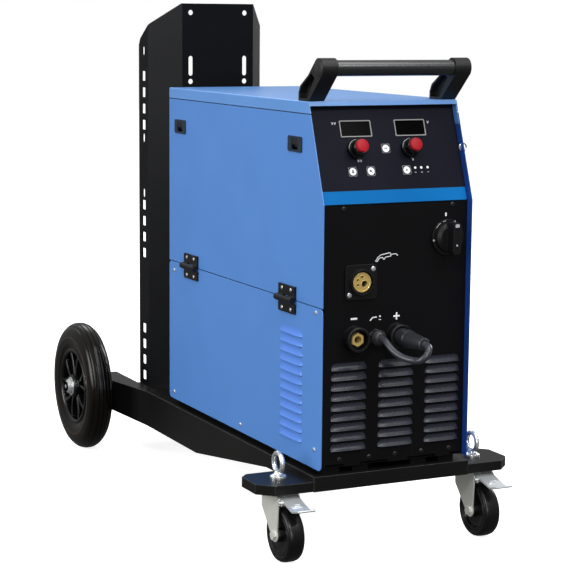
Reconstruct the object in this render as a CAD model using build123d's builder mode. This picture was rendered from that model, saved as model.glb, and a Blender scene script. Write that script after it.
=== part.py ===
from build123d import *
from math import cos, pi, radians, sin, tan
import os

# A MIG welding machine standing on a two-wheel cart with a gas bottle rack.
# Millimetres, +Z up, the machine's front faces -Y and its service door faces -X.
# The origin is on the floor, under the middle of the whole cart.

os.makedirs("parts", exist_ok=True)

# ---------------------------------------------------------------- machine casing
WIDTH = 300.0
HALF = WIDTH / 2
DEPTH = 705.0
FRONT = -545.5                 # y of the side panels' lower front edge
REAR = FRONT + DEPTH
BASE_Z = 165.0                 # bottom edge of the side panels
KINK_Z = 636.5                 # the front leans back above this height
ROOF_Z = 813.0
SKIRT_Z = 792.0                # bottom edge of the roof's skirt
SEAM_Z = 455.5                 # seam between the lower left panel and the door
LEAN = 19.6                    # lean of the upper front, degrees from vertical
SHEET = 1.5
SEAM_GAP = 1.6
RECESS = 15.0                  # front panels sit this far behind the side panels' edges
PANEL_Y = FRONT + RECESS
INNER = HALF - SHEET - 0.3     # half width between the side panels
DIVIDER_X = -20.0              # the wall between the wire bay and the power bay

# ---------------------------------------------------------------- cart
PLATE = 3.0
DECK_TOP = 154.0
DECK_HALF = 158.6
DECK_FRONT = FRONT + 8.0
DECK_LIP = 27.0
RAIL_BOTTOM = 79.0
RAIL_TAPER_END = FRONT + 205.0
RAIL_TAPER_START = FRONT + 542.0
TAIL_START = FRONT + 811.0
TAIL_END = FRONT + 1052.0
TAIL_FLARE = 10.6              # the tails turn outwards by this angle
TAIL_FLANGE_X = 140.0
FOOT_END = FRONT + 930.0       # rear edge of the deck, under the bottle rack
PLATFORM_TOP = 100.0
PLATFORM_START = FRONT + 770.0
PLATFORM_LIP = 25.0

RACK_FRONT = FRONT + 800.0
RACK_TOP = 985.0
RACK_HALF_CENTRE = 82.5
RACK_WING_Y = FRONT + 871.0
RACK_FLANGE_END = FRONT + 925.0
RACK_HALF = 132.0

# ---------------------------------------------------------------- wheels
WHEEL_R = 140.0
WHEEL_X = 239.5
WHEEL_Y = FRONT + 1001.0
TYRE_HALF = 28.0
RIM_R = 84.0
AXLE_R = 10.0
RUNNING_FIT = 0.06
HUB_IN = 212.0
HUB_OUT = 267.0

CASTER_X = 201.5
SWIVEL_Y = FRONT + 66.0
CASTER_Y = FRONT + 34.0
CASTER_R = 50.0
CASTER_TYRE_HALF = 16.0
OUTRIGGER_TOP = 145.0
OUTRIGGER_LIP = 18.0
OUTRIGGER_SHEET = 4.0
EYE_SHANK_R = 6.0
PEDAL_PIVOT_Y = FRONT + 40.0
PEDAL_PIVOT_Z = 112.0

# ---------------------------------------------------------------- front fittings
TORCH_X, TORCH_Z = -68.5, 497.5
TORCH_SCREWS = ((TORCH_X + 23.5, TORCH_Z + 22.5), (TORCH_X - 23.5, TORCH_Z - 22.5))
SOCKET_Z = 397.0
MINUS_X, GLAND_X, PLUS_X = -80.0, -37.0, 6.0
SWITCH_X, SWITCH_Z = 106.0, 570.0
SOCKET_R = 22.5
SOCKET_FRONT = FRONT - 7.0
GLAND_FRONT = FRONT - 9.0
PLUG_END = FRONT - 86.0
CABLE_R = 6.0

# positions on the leaning panel: x across, s up the slope
DISPLAYS = ((-59.0, 140.0), (51.0, 140.0))
KNOBS = {"voltage_knob": (-64.0, 102.0), "wire_speed_knob": (44.0, 102.0)}
BUTTONS = {
    "mode_button": (-4.3, 102.5),
    "gas_test_button": (-76.8, 62.0),
    "wire_inch_button": (-40.6, 62.0),
    "select_button": (31.7, 62.0),
}
BUTTON_SIDE = 17.0
BUTTON_GAP = 0.5
KNOB_SHAFT_R = 3.0

HINGE_Y = (FRONT + 137.0, FRONT + 584.0)
HINGE_X = -HALF - 8.5
LATCH_Y = {"latch_slider_front": FRONT + 113.0, "latch_slider_rear": FRONT + 644.0}
LATCH_Z = 736.0

# ---------------------------------------------------------------- inside the machine
SPOOL_Y, SPOOL_Z = FRONT + 480.0, 610.0
SPOOL_R, SPOOL_HALF = 148.0, 47.0
SPOOL_X = -78.0
FEED_Y = FRONT + 165.0
FEED_X = TORCH_X
ROLLER_R = 18.0
WIRE_GAP = 1.2
ARM_PIVOT_Y = FRONT + 205.0
ARM_PIVOT_Z = TORCH_Z + 28.0
FAN_X, FAN_Z, FAN_R = 62.0, 560.0, 58.0
MAINS_X, GAS_X, INLET_Z = -70.0, 60.0, 210.0


def front_at(z):
    """y of the side panels' front edge at height z."""
    return FRONT + max(0.0, z - KINK_Z) * tan(radians(LEAN))


# The leaning control panel's outer face: local x across, local y up the slope, normal outwards.
SLOPE = Plane(
    origin=(0, FRONT + RECESS * cos(radians(LEAN)), KINK_Z - RECESS * sin(radians(LEAN))),
    x_dir=(1, 0, 0),
    z_dir=(0, -cos(radians(LEAN)), sin(radians(LEAN))),
)


def front_plane(y):
    """An upright plane at y that faces forwards: local x across, local y up."""
    return Plane(origin=(0, y, 0), x_dir=(1, 0, 0), z_dir=(0, -1, 0))


def forward_axis(x, y, z):
    """A plane at a point whose normal points forwards."""
    return Plane(origin=(x, y, z), x_dir=(1, 0, 0), z_dir=(0, -1, 0))


def side_plane(x):
    """An upright plane at x that faces +X: local x along Y, local y up."""
    return Plane(origin=(x, 0, 0), x_dir=(0, 1, 0), z_dir=(1, 0, 0))


def across_axis(x, y, z):
    """A plane at a point whose normal points along +X."""
    return Plane(origin=(x, y, z), x_dir=(0, 1, 0), z_dir=(1, 0, 0))


def upward_axis(x, y, z):
    """A plane at a point whose normal points up."""
    return Plane(origin=(x, y, z))


def slab(x, y, z, mode=Mode.ADD):
    """A box between two limits on each axis, in the current part."""
    with Locations(((x[0] + x[1]) / 2, (y[0] + y[1]) / 2, (z[0] + z[1]) / 2)):
        Box(x[1] - x[0], y[1] - y[0], z[1] - z[0], mode=mode)


def prism(plane, points, amount, mode=Mode.ADD):
    """A polygon on a plane, extruded along the plane's normal, in the current part."""
    with BuildSketch(plane) as outline:
        with BuildLine():
            Polyline(*points, close=True)
        make_face()
    extrude(outline.sketch, amount=amount, mode=mode)


def rod(plane, radius, start, end, mode=Mode.ADD):
    """A cylinder about a plane's normal between two heights, in the current part."""
    with BuildSketch(plane.offset(start)) as section:
        Circle(radius)
    extrude(section.sketch, amount=end - start, mode=mode)


def turned(plane, profile, mode=Mode.ADD):
    """(radius, height) corners revolved about a plane's normal, in the current part."""
    half = Plane(origin=plane.origin, x_dir=plane.x_dir, z_dir=-plane.y_dir)
    with BuildSketch(half) as outline:
        with BuildLine():
            Polyline(*profile, close=True)
        make_face()
    revolve(outline.sketch, axis=Axis(plane.origin, plane.z_dir), mode=mode)


def rounded_plate(plane, centre, size, corner, start, end, mode=Mode.ADD):
    """A rectangle with round corners on a plane, extruded between two heights."""
    with BuildSketch(plane.offset(start)) as outline:
        with Locations(centre):
            RectangleRounded(size[0], size[1], corner)
    extrude(outline.sketch, amount=end - start, mode=mode)


def save(piece, name):
    """Names a finished piece and writes its STEP file."""
    piece.part.label = name
    export_step(piece.part, f"parts/{name}.step")


# ================================================================= cart: welded chassis
with BuildPart() as chassis_deck:
    slab((-DECK_HALF + PLATE, DECK_HALF - PLATE), (DECK_FRONT, TAIL_START), (DECK_TOP - PLATE, DECK_TOP))
    slab((-DECK_HALF, DECK_HALF), (DECK_FRONT, DECK_FRONT + PLATE), (DECK_TOP - DECK_LIP, DECK_TOP))
    prism(
        Plane.XY.offset(DECK_TOP - PLATE),
        [
            (-TAIL_FLANGE_X, TAIL_START),
            (-TAIL_FLANGE_X, FOOT_END - 20),
            (-TAIL_FLANGE_X + 14, FOOT_END),
            (TAIL_FLANGE_X - 14, FOOT_END),
            (TAIL_FLANGE_X, FOOT_END - 20),
            (TAIL_FLANGE_X, TAIL_START),
        ],
        PLATE,
    )
save(chassis_deck, "chassis_deck")

# The right rail, then its mirror image: a tapered web, and a tail that flares to the wheel.
flare = radians(TAIL_FLARE)
tail_length = (TAIL_END - TAIL_START) / cos(flare)
tail_plane = Plane(
    origin=(DECK_HALF, TAIL_START, 0), x_dir=(sin(flare), cos(flare), 0), z_dir=(cos(flare), -sin(flare), 0)
)


def tail_x(y):
    """x of the right tail's outer face at y."""
    return DECK_HALF + (y - TAIL_START) * tan(flare)


with BuildPart() as side_rails:
    prism(
        side_plane(DECK_HALF),
        [
            (DECK_FRONT + PLATE, DECK_TOP),
            (TAIL_START, DECK_TOP),
            (TAIL_START, RAIL_BOTTOM),
            (RAIL_TAPER_START, RAIL_BOTTOM),
            (RAIL_TAPER_END, DECK_TOP - DECK_LIP),
            (DECK_FRONT + PLATE, DECK_TOP - DECK_LIP),
        ],
        -PLATE,
    )
    prism(
        tail_plane,
        [(-1, RAIL_BOTTOM), (tail_length, RAIL_BOTTOM + 14), (tail_length, DECK_TOP), (-1, DECK_TOP)],
        -PLATE,
    )
    prism(
        Plane.XY.offset(DECK_TOP - PLATE),
        [
            (TAIL_FLANGE_X + 0.2, TAIL_START + 1),
            (tail_x(TAIL_START + 1) - PLATE / 2, TAIL_START + 1),
            (tail_x(TAIL_END) - PLATE / 2 - 0.3, TAIL_END - 0.3),
            (TAIL_FLANGE_X + 0.2, TAIL_END - 0.3),
        ],
        PLATE,
    )
    rod(across_axis(0, WHEEL_Y, WHEEL_R), 6.05, DECK_HALF, WHEEL_X, mode=Mode.SUBTRACT)
    mirror(about=Plane.YZ)
save(side_rails, "side_rails")

platform_half = DECK_HALF - PLATE - 0.2
platform_end = TAIL_END - PLATE
lip_half = tail_x(platform_end - PLATE) - PLATE - 0.4
with BuildPart() as cylinder_platform:
    prism(
        Plane.XY.offset(PLATFORM_TOP - PLATE),
        [
            (-platform_half, PLATFORM_START),
            (platform_half, PLATFORM_START),
            (platform_half, TAIL_START),
            (lip_half, platform_end),
            (-lip_half, platform_end),
            (-platform_half, TAIL_START),
        ],
        PLATE,
    )
    slab(
        (-lip_half, lip_half),
        (platform_end - PLATE, platform_end),
        (PLATFORM_TOP - PLATE, PLATFORM_TOP + PLATFORM_LIP),
    )
save(cylinder_platform, "cylinder_platform")

# The bottle rack: a centre plate, two wings folded back and two flanges, in one sheet.
rack_side = [
    (RACK_HALF_CENTRE, RACK_FRONT),
    (RACK_HALF, RACK_WING_Y),
    (RACK_HALF, RACK_FLANGE_END),
    (RACK_HALF - PLATE, RACK_FLANGE_END),
    (RACK_HALF - PLATE, RACK_WING_Y + 0.8),
    (RACK_HALF_CENTRE - 1.6, RACK_FRONT + PLATE),
]
rack_outline = rack_side + [(-x, y) for x, y in reversed(rack_side)]
WING_SLOPE = 45.0              # the top edge drops this far along each wing
SLOT_PITCH = 35.0
SLOT_SIDE = 21.0
slot_groups = ((725.0, 4), (446.0, 4), (174.0, 4))
with BuildPart() as bottle_rack:
    prism(Plane.XY.offset(DECK_TOP), rack_outline, RACK_TOP - DECK_TOP)
    # the top edge: level on the centre plate, falling along the wings, steeper on the flanges
    for side in (-1, 1):
        with BuildSketch(front_plane(RACK_FRONT - 10)) as wing_cut:
            with BuildLine():
                Polyline(
                    (side * RACK_HALF_CENTRE, RACK_TOP),
                    (side * (RACK_HALF - 1), RACK_TOP - WING_SLOPE),
                    (side * (RACK_HALF + 9), RACK_TOP - WING_SLOPE - 9),
                    (side * (RACK_HALF + 9), RACK_TOP + 9),
                    (side * RACK_HALF_CENTRE, RACK_TOP + 9),
                    close=True,
                )
            make_face()
        extrude(wing_cut.sketch, amount=-200, mode=Mode.SUBTRACT)
    prism(
        side_plane(-RACK_HALF - 10),
        [
            (RACK_WING_Y, RACK_TOP - WING_SLOPE),
            (RACK_FLANGE_END - 8, RACK_TOP - WING_SLOPE - 30),
            (RACK_FLANGE_END, RACK_TOP - WING_SLOPE - 44),
            (RACK_FLANGE_END + 9, RACK_TOP - WING_SLOPE - 44),
            (RACK_FLANGE_END + 9, RACK_TOP),
            (RACK_WING_Y, RACK_TOP),
        ],
        2 * RACK_HALF + 20,
        mode=Mode.SUBTRACT,
    )
    # the square windows and the keyhole slots of the flanges, cut through both
    with BuildSketch(side_plane(-RACK_HALF - 5)) as flange_holes:
        for lowest, count in slot_groups:
            for step in range(count):
                with Locations(((RACK_WING_Y + RACK_FLANGE_END) / 2, lowest + step * SLOT_PITCH)):
                    RectangleRounded(SLOT_SIDE, SLOT_SIDE, 2)
        for height in (884.0, 697.0, 577.0):
            with Locations(((RACK_WING_Y + RACK_FLANGE_END) / 2, height)):
                SlotOverall(21, 14, rotation=90)
    extrude(flange_holes.sketch, amount=2 * RACK_HALF + 10, mode=Mode.SUBTRACT)
    # strap holes and slots of the centre plate
    with BuildSketch(front_plane(RACK_FRONT - 5)) as strap_holes:
        for x in (-62.5, 62.5):
            with Locations((x, 966)):
                Circle(5.5)
            with Locations((x, 854), (x, 560), (x, 300)):
                SlotOverall(42, 10, rotation=90)
            with Locations((x, 821), (x, 420)):
                Circle(5.5)
    extrude(strap_holes.sketch, amount=-20, mode=Mode.SUBTRACT)
save(bottle_rack, "bottle_rack")

# ================================================================= cart: caster outriggers
OUTRIGGER_IN = DECK_HALF + 0.2
OUTRIGGER_OUT = 259.0
OUTRIGGER_FRONT = FRONT + 12.0
OUTRIGGER_REAR = FRONT + 112.0
CHAMFER = 26.0


def outrigger_outline(inset):
    """The plate's chamfered outline on the right, moved inwards by inset on its free edges."""
    out = OUTRIGGER_OUT - inset
    front = OUTRIGGER_FRONT + inset
    rear = OUTRIGGER_REAR - inset
    return [
        (OUTRIGGER_IN, front),
        (out - CHAMFER, front),
        (out, front + CHAMFER),
        (out, rear - CHAMFER * 0.6),
        (out - CHAMFER * 0.6, rear),
        (OUTRIGGER_IN, rear),
    ]


with BuildPart() as caster_outriggers:
    prism(Plane.XY.offset(OUTRIGGER_TOP - OUTRIGGER_LIP), outrigger_outline(0), OUTRIGGER_LIP)
    prism(
        Plane.XY.offset(OUTRIGGER_TOP - OUTRIGGER_LIP),
        outrigger_outline(PLATE),
        OUTRIGGER_LIP - OUTRIGGER_SHEET,
        mode=Mode.SUBTRACT,
    )
    rod(upward_axis(CASTER_X, SWIVEL_Y, 0), EYE_SHANK_R + 0.05, 120, 150, mode=Mode.SUBTRACT)
    mirror(about=Plane.YZ)
save(caster_outriggers, "caster_outriggers")

# Eye bolts: the shank goes down through the outrigger and is the caster's king pin.
RING_R, RING_WIRE_R = 17.5, 4.6
RING_Z = OUTRIGGER_TOP + 27.0
PIN_BOTTOM = 111.0
with BuildPart() as eye_bolts:
    turned(
        upward_axis(CASTER_X, SWIVEL_Y, 0),
        [
            (0, PIN_BOTTOM),
            (EYE_SHANK_R, PIN_BOTTOM),
            (EYE_SHANK_R, OUTRIGGER_TOP),
            (15, OUTRIGGER_TOP),
            (15, OUTRIGGER_TOP + 4),
            (9, OUTRIGGER_TOP + 7),
            (6.5, OUTRIGGER_TOP + 12),
            (0, OUTRIGGER_TOP + 12),
        ],
    )
    with BuildSketch(Plane.XY.offset(RING_Z)) as ring_section:
        with Locations((CASTER_X, SWIVEL_Y + RING_R)):
            Circle(RING_WIRE_R)
    revolve(ring_section.sketch, axis=Axis((CASTER_X, SWIVEL_Y, RING_Z), (1, 0, 0)))
    mirror(about=Plane.YZ)
save(eye_bolts, "eye_bolts")

# Caster heads: a plate under each outrigger, fixed, that carries the swivel race.
HEAD_R = 30.0
HEAD_BOTTOM = 130.0
with BuildPart() as caster_heads:
    turned(
        upward_axis(CASTER_X, SWIVEL_Y, 0),
        [
            (EYE_SHANK_R + 0.05, HEAD_BOTTOM),
            (20, HEAD_BOTTOM),
            (HEAD_R, HEAD_BOTTOM + 5),
            (HEAD_R, OUTRIGGER_TOP - OUTRIGGER_SHEET),
            (EYE_SHANK_R + 0.05, OUTRIGGER_TOP - OUTRIGGER_SHEET),
        ],
    )
    shank = upward_axis(CASTER_X, SWIVEL_Y, 0)
    rod(shank, 10, PIN_BOTTOM, PIN_BOTTOM + 6)
    rod(shank, EYE_SHANK_R + 0.05, PIN_BOTTOM, PIN_BOTTOM + 6, mode=Mode.SUBTRACT)
    mirror(about=Plane.YZ)
save(caster_heads, "caster_heads")

# ================================================================= casters
FORK_IN = 19.5
FORK_SHEET = 2.5
FORK_TOP = HEAD_BOTTOM - 0.6
FORK_R = 29.0
# the crown's front corners turn inside the outrigger's lip and past the rail
CROWN_FRONT = 3.0
CASTER_AXLE_R = 5.0
BOLT_HEAD = 5.0
BOLT_END = FORK_IN + FORK_SHEET + 0.05 + BOLT_HEAD
for side, hand in ((-1, "left"), (1, "right")):
    centre_x = side * CASTER_X
    swivel = upward_axis(centre_x, SWIVEL_Y, 0)
    axle = across_axis(centre_x, CASTER_Y, CASTER_R)
    with BuildPart() as fork:
        # the crown with its race, and two legs that taper to the axle
        rod(swivel, FORK_R, FORK_TOP - PLATE, FORK_TOP)
        slab(
            (centre_x - FORK_IN - FORK_SHEET, centre_x + FORK_IN + FORK_SHEET),
            (CASTER_Y - CROWN_FRONT, SWIVEL_Y),
            (FORK_TOP - PLATE, FORK_TOP),
        )
        for start in (-FORK_IN - FORK_SHEET, FORK_IN):
            with BuildSketch(side_plane(centre_x + start)) as leg:
                with BuildLine():
                    Polyline(
                        (SWIVEL_Y + 21, FORK_TOP),
                        (SWIVEL_Y + 21, FORK_TOP - 38),
                        (CASTER_Y + 9, CASTER_R - 7),
                        (CASTER_Y - 9, CASTER_R - 7),
                        (CASTER_Y - 12, CASTER_R + 34),
                        (CASTER_Y - 14, FORK_TOP - 12),
                        (CASTER_Y - CROWN_FRONT, FORK_TOP - 4),
                        (CASTER_Y - CROWN_FRONT, FORK_TOP),
                        close=True,
                    )
                make_face()
                with Locations((CASTER_Y, CASTER_R)):
                    Circle(12)
            extrude(leg.sketch, amount=FORK_SHEET)
        rod(swivel, EYE_SHANK_R + RUNNING_FIT, FORK_TOP - 8, FORK_TOP + 1, mode=Mode.SUBTRACT)
        rod(axle, CASTER_AXLE_R + 0.02, -30, 30, mode=Mode.SUBTRACT)
        rod(across_axis(centre_x, PEDAL_PIVOT_Y - 22, PEDAL_PIVOT_Z), 3.0, -23, 23, mode=Mode.SUBTRACT)
        # the axle bolt, its head and its nut, a separate solid in the legs' holes
        rod(axle, CASTER_AXLE_R, -BOLT_END, BOLT_END)
        for start, depth in ((-BOLT_END, BOLT_HEAD), (BOLT_END - BOLT_HEAD, BOLT_HEAD)):
            with BuildSketch(axle.offset(start)) as hexagon:
                RegularPolygon(9, 6)
            extrude(hexagon.sketch, amount=depth)
    save(fork, f"caster_fork_{hand}")

    with BuildPart() as caster_wheel:
        turned(
            axle,
            [
                (CASTER_AXLE_R + RUNNING_FIT, -18.8),
                (13, -18.8),
                (13, -9),
                (32, -9),
                (34, -14),
                (44, -CASTER_TYRE_HALF),
                (48.5, -12.5),
                (CASTER_R, -6),
                (CASTER_R, 6),
                (48.5, 12.5),
                (44, CASTER_TYRE_HALF),
                (34, 14),
                (32, 9),
                (13, 9),
                (13, 18.8),
                (CASTER_AXLE_R + RUNNING_FIT, 18.8),
            ],
        )
    save(caster_wheel, f"caster_wheel_{hand}")

    # The brake pedal: a folded plate between the legs on a pivot pin, with a toe pad.
    with BuildPart() as pedal:
        pivot = across_axis(centre_x, PEDAL_PIVOT_Y - 22, PEDAL_PIVOT_Z)
        rod(pivot, 2.95, -21.9, 21.9)
        prism(
            side_plane(centre_x - 17.5),
            [
                (PEDAL_PIVOT_Y - 10, PEDAL_PIVOT_Z + 10),
                (PEDAL_PIVOT_Y - 10, PEDAL_PIVOT_Z + 7.5),
                (PEDAL_PIVOT_Y - 30, PEDAL_PIVOT_Z + 2),
                (FRONT - 26, 104.5),
                (FRONT - 49, 110.0),
                (FRONT - 50, 113.0),
                (FRONT - 26, 107.8),
                (PEDAL_PIVOT_Y - 30, PEDAL_PIVOT_Z + 6),
            ],
            35.0,
        )
        for start in (-17.5, 15.5):
            with BuildSketch(side_plane(centre_x + start)) as cheek:
                with Locations((PEDAL_PIVOT_Y - 22, PEDAL_PIVOT_Z)):
                    Circle(6.5)
            extrude(cheek.sketch, amount=2.0)
    save(pedal, f"brake_pedal_{hand}")

# ================================================================= rear axle and wheels
STUB_SHOULDER = 198.5
STUB_THREAD_R = 6.0
with BuildPart() as axle_stubs:
    stub = across_axis(0, WHEEL_Y, WHEEL_R)
    rod(stub, AXLE_R, STUB_SHOULDER, HUB_OUT + 8)
    rod(stub, 17, STUB_SHOULDER, HUB_IN - 0.4)
    # the thread and the nut inside the tail's web
    rod(stub, STUB_THREAD_R, 174, STUB_SHOULDER)
    with BuildSketch(stub.offset(177)) as inner_nut:
        RegularPolygon(10.9, 6)
    extrude(inner_nut.sketch, amount=10)
    # the domed cap nut on the stub's end, a separate solid
    turned(
        stub,
        [
            (0, HUB_OUT + 8.05),
            (AXLE_R + 0.05, HUB_OUT + 8.05),
            (AXLE_R + 0.05, HUB_OUT + 0.5),
            (17, HUB_OUT + 0.5),
            (17, HUB_OUT + 4),
            (14, HUB_OUT + 9),
            (7, HUB_OUT + 12),
            (0, HUB_OUT + 12),
        ],
    )
    mirror(about=Plane.YZ)
save(axle_stubs, "axle_stubs")

SPOKES = 5
HUB_R = 26.0
HUB_MID = (HUB_IN + HUB_OUT) / 2
with BuildSketch() as curved_spoke:
    with BuildLine():
        ThreePointArc((HUB_R - 4, 5), (52, 16), (RIM_R - 5, 14))
        Line((RIM_R - 5, 14), (RIM_R - 5, 4))
        ThreePointArc((RIM_R - 5, 4), (52, 7), (HUB_R - 4, -5))
        Line((HUB_R - 4, -5), (HUB_R - 4, 5))
    make_face()
for side, hand in ((-1, "left"), (1, "right")):
    wheel = across_axis(side * WHEEL_X, WHEEL_Y, WHEEL_R)
    hub_mid = side * HUB_MID
    with BuildPart() as tyre:
        half = Plane(origin=wheel.origin, x_dir=wheel.x_dir, z_dir=-wheel.y_dir)
        with BuildSketch(half):
            with BuildLine():
                Polyline((122, -TYRE_HALF + 1.5), (106, -TYRE_HALF), (92, -24), (RIM_R, -24))
                Line((RIM_R, -24), (RIM_R, 24))
                Polyline((RIM_R, 24), (92, 24), (106, TYRE_HALF), (122, TYRE_HALF - 1.5))
                ThreePointArc((122, TYRE_HALF - 1.5), (WHEEL_R, 0), (122, -TYRE_HALF + 1.5))
            make_face()
            # the grooves between the tread ribs
            with Locations((WHEEL_R, -13), (WHEEL_R, -4.5), (WHEEL_R, 4.5), (WHEEL_R, 13)):
                Rectangle(7, 1.6, mode=Mode.SUBTRACT)
        revolve(axis=Axis(wheel.origin, wheel.z_dir))
    save(tyre, f"rear_tyre_{hand}")

    with BuildPart() as hub:
        centre = across_axis(hub_mid, WHEEL_Y, WHEEL_R)
        width = (HUB_OUT - HUB_IN) / 2
        rod(centre, HUB_R, -width, width)
        turned(centre, [(RIM_R - 7, -23), (RIM_R, -23), (RIM_R, 23), (RIM_R - 7, 23)])
        turned(centre, [(HUB_R - 2, -4), (RIM_R - 5, -4), (RIM_R - 5, 4), (HUB_R - 2, 4)])
        with BuildSketch(centre.offset(-19)) as spoke_ring:
            with PolarLocations(0, SPOKES):
                add(curved_spoke.sketch)
        extrude(spoke_ring.sketch, amount=38)
        rod(centre, AXLE_R + RUNNING_FIT, -width - 1, width + 1, mode=Mode.SUBTRACT)
    save(hub, f"rear_hub_{hand}")

# Panel screws: (y from the front edge, z) on the sides, (x, z) on the front and the rear.
SIDE_SCREWS = ((25, 446), (679, 437), (27, 200), (679, 180), (344, 179))
FRONT_SCREWS = ((-103, 628), (117, 628), (-106, 180), (-46, 180), (7, 180), (62, 180), (120, 180))
REAR_SCREWS = ((-130, 185), (130, 185), (-130, 480), (130, 480), (-130, 770), (130, 770))
SCREW_R = 2.0
SCREW_HOLE_R = 2.1

# ================================================================= casing: base and side panels
SKID_HALF = 16.0
with BuildPart() as base_pan:
    slab((-INNER, INNER), (PANEL_Y + 3, REAR - 3), (BASE_Z + 1, BASE_Z + 3))
    for x in (-118.0, 118.0):
        slab((x - SKID_HALF, x + SKID_HALF), (FRONT + 22, REAR - 12), (DECK_TOP, BASE_Z + 1))
    for x in (-60.0, 60.0):
        slab((x - SKID_HALF, x + SKID_HALF), (FRONT + 22, FRONT + 52), (DECK_TOP, BASE_Z + 1))
save(base_pan, "base_pan")

LOUVRE_PITCH = 18.2
LOUVRE_HEIGHT = 13.0
LOUVRE_DEPTH = 5.0
LOUVRE_WIDTH = 70.0
LOUVRE_ROWS = 9
LOUVRE_FIRST_Z = 196.0
LOUVRE_COLUMNS = (-89.0, 6.5, 102.0)
PANEL_TOP = 633.0
NOTCHES = ((-134, -96), (-64, -8), (34, 92), (122, 140))
with BuildPart() as front_panel:
    slab((-INNER, INNER), (PANEL_Y, PANEL_Y + SHEET), (BASE_Z + 1, PANEL_TOP))
    for column in LOUVRE_COLUMNS:
        for row in range(LOUVRE_ROWS):
            z = LOUVRE_FIRST_Z + row * LOUVRE_PITCH
            # a pressed hood, hollow behind, that opens downwards
            prism(
                side_plane(column - LOUVRE_WIDTH / 2),
                [
                    (PANEL_Y, z),
                    (PANEL_Y - LOUVRE_DEPTH, z),
                    (PANEL_Y - LOUVRE_DEPTH + 0.6, z + 5),
                    (PANEL_Y, z + LOUVRE_HEIGHT),
                ],
                LOUVRE_WIDTH,
            )
            prism(
                side_plane(column - LOUVRE_WIDTH / 2 + 2),
                [
                    (PANEL_Y + SHEET, z - 0.5),
                    (PANEL_Y - LOUVRE_DEPTH + 1.2, z - 0.5),
                    (PANEL_Y - LOUVRE_DEPTH + 1.8, z + 4.5),
                    (PANEL_Y + SHEET, z + LOUVRE_HEIGHT - 1.5),
                ],
                LOUVRE_WIDTH - 4,
                mode=Mode.SUBTRACT,
            )
    for left, right in NOTCHES:
        slab((left, right), (PANEL_Y - 1, PANEL_Y + 3), (BASE_Z, BASE_Z + 6), mode=Mode.SUBTRACT)
    rod(forward_axis(TORCH_X, PANEL_Y, TORCH_Z), 19, -5, 5, mode=Mode.SUBTRACT)
    for x in (MINUS_X, PLUS_X):
        rod(forward_axis(x, PANEL_Y, SOCKET_Z), 15, -5, 5, mode=Mode.SUBTRACT)
    rod(forward_axis(GLAND_X, PANEL_Y, SOCKET_Z), 10, -5, 5, mode=Mode.SUBTRACT)
    rod(forward_axis(SWITCH_X, PANEL_Y, SWITCH_Z), 8, -5, 5, mode=Mode.SUBTRACT)
    for x, z in FRONT_SCREWS + TORCH_SCREWS:
        rod(forward_axis(x, PANEL_Y, z), SCREW_HOLE_R, -5, 5, mode=Mode.SUBTRACT)
save(front_panel, "front_panel")

SLOPE_START = 2.8
SLOPE_END = 184.0
with BuildPart() as control_panel:
    rounded_plate(
        SLOPE, (0, (SLOPE_START + SLOPE_END) / 2), (2 * INNER, SLOPE_END - SLOPE_START), 1, -SHEET, 0
    )
    with BuildSketch(SLOPE.offset(1)) as control_holes:
        with Locations(*KNOBS.values()):
            Circle(KNOB_SHAFT_R + 1.5)
        with Locations(*BUTTONS.values()):
            Rectangle(BUTTON_SIDE - 5 + 2 * BUTTON_GAP, BUTTON_SIDE - 5 + 2 * BUTTON_GAP)
    extrude(control_holes.sketch, amount=-4, mode=Mode.SUBTRACT)
save(control_panel, "control_panel")

OVERLAY = 1.8
with BuildPart() as control_overlay:
    rounded_plate(SLOPE, (0, 93.0), (2 * INNER - 3, 178.0), 3, 0, OVERLAY)
    with BuildSketch(SLOPE.offset(OVERLAY + 1)) as overlay_windows:
        with Locations(*KNOBS.values()):
            Circle(KNOB_SHAFT_R + 1.5)
        with Locations(*BUTTONS.values()):
            RectangleRounded(BUTTON_SIDE + 2 * BUTTON_GAP, BUTTON_SIDE + 2 * BUTTON_GAP, 3)
        with Locations(*DISPLAYS):
            RectangleRounded(61, 29, 3)
    extrude(overlay_windows.sketch, amount=-OVERLAY - 1, mode=Mode.SUBTRACT)
save(control_overlay, "control_overlay")

SIDE_LOUVRE_Y = (FRONT + 78.0, FRONT + 167.0)
SIDE_LOUVRES = 12
SIDE_LOUVRE_PITCH = 17.4
SIDE_LOUVRE_Z = 201.6
SIDE_LOUVRE_DEPTH = 3.5
with BuildPart() as left_lower_panel:
    rounded_plate(
        side_plane(-HALF),
        ((FRONT + REAR) / 2, (BASE_Z + SEAM_Z - SEAM_GAP / 2) / 2),
        (DEPTH, SEAM_Z - SEAM_GAP / 2 - BASE_Z),
        10,
        0,
        SHEET,
    )
    for row in range(SIDE_LOUVRES):
        z = SIDE_LOUVRE_Z + row * SIDE_LOUVRE_PITCH
        prism(
            front_plane(SIDE_LOUVRE_Y[0]),
            [
                (-HALF, z),
                (-HALF - SIDE_LOUVRE_DEPTH, z),
                (-HALF - SIDE_LOUVRE_DEPTH + 0.5, z + 4),
                (-HALF, z + 12),
            ],
            SIDE_LOUVRE_Y[0] - SIDE_LOUVRE_Y[1],
        )
        prism(
            front_plane(SIDE_LOUVRE_Y[0] + 2),
            [
                (-HALF + SHEET, z - 0.5),
                (-HALF - SIDE_LOUVRE_DEPTH + 1.1, z - 0.5),
                (-HALF - SIDE_LOUVRE_DEPTH + 1.6, z + 3.5),
                (-HALF + SHEET, z + 10.5),
            ],
            SIDE_LOUVRE_Y[0] - SIDE_LOUVRE_Y[1] + 4,
            mode=Mode.SUBTRACT,
        )
    for y, z in SIDE_SCREWS:
        rod(across_axis(-HALF, FRONT + y, z), SCREW_HOLE_R, -2, 4, mode=Mode.SUBTRACT)
save(left_lower_panel, "left_lower_panel")

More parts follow.
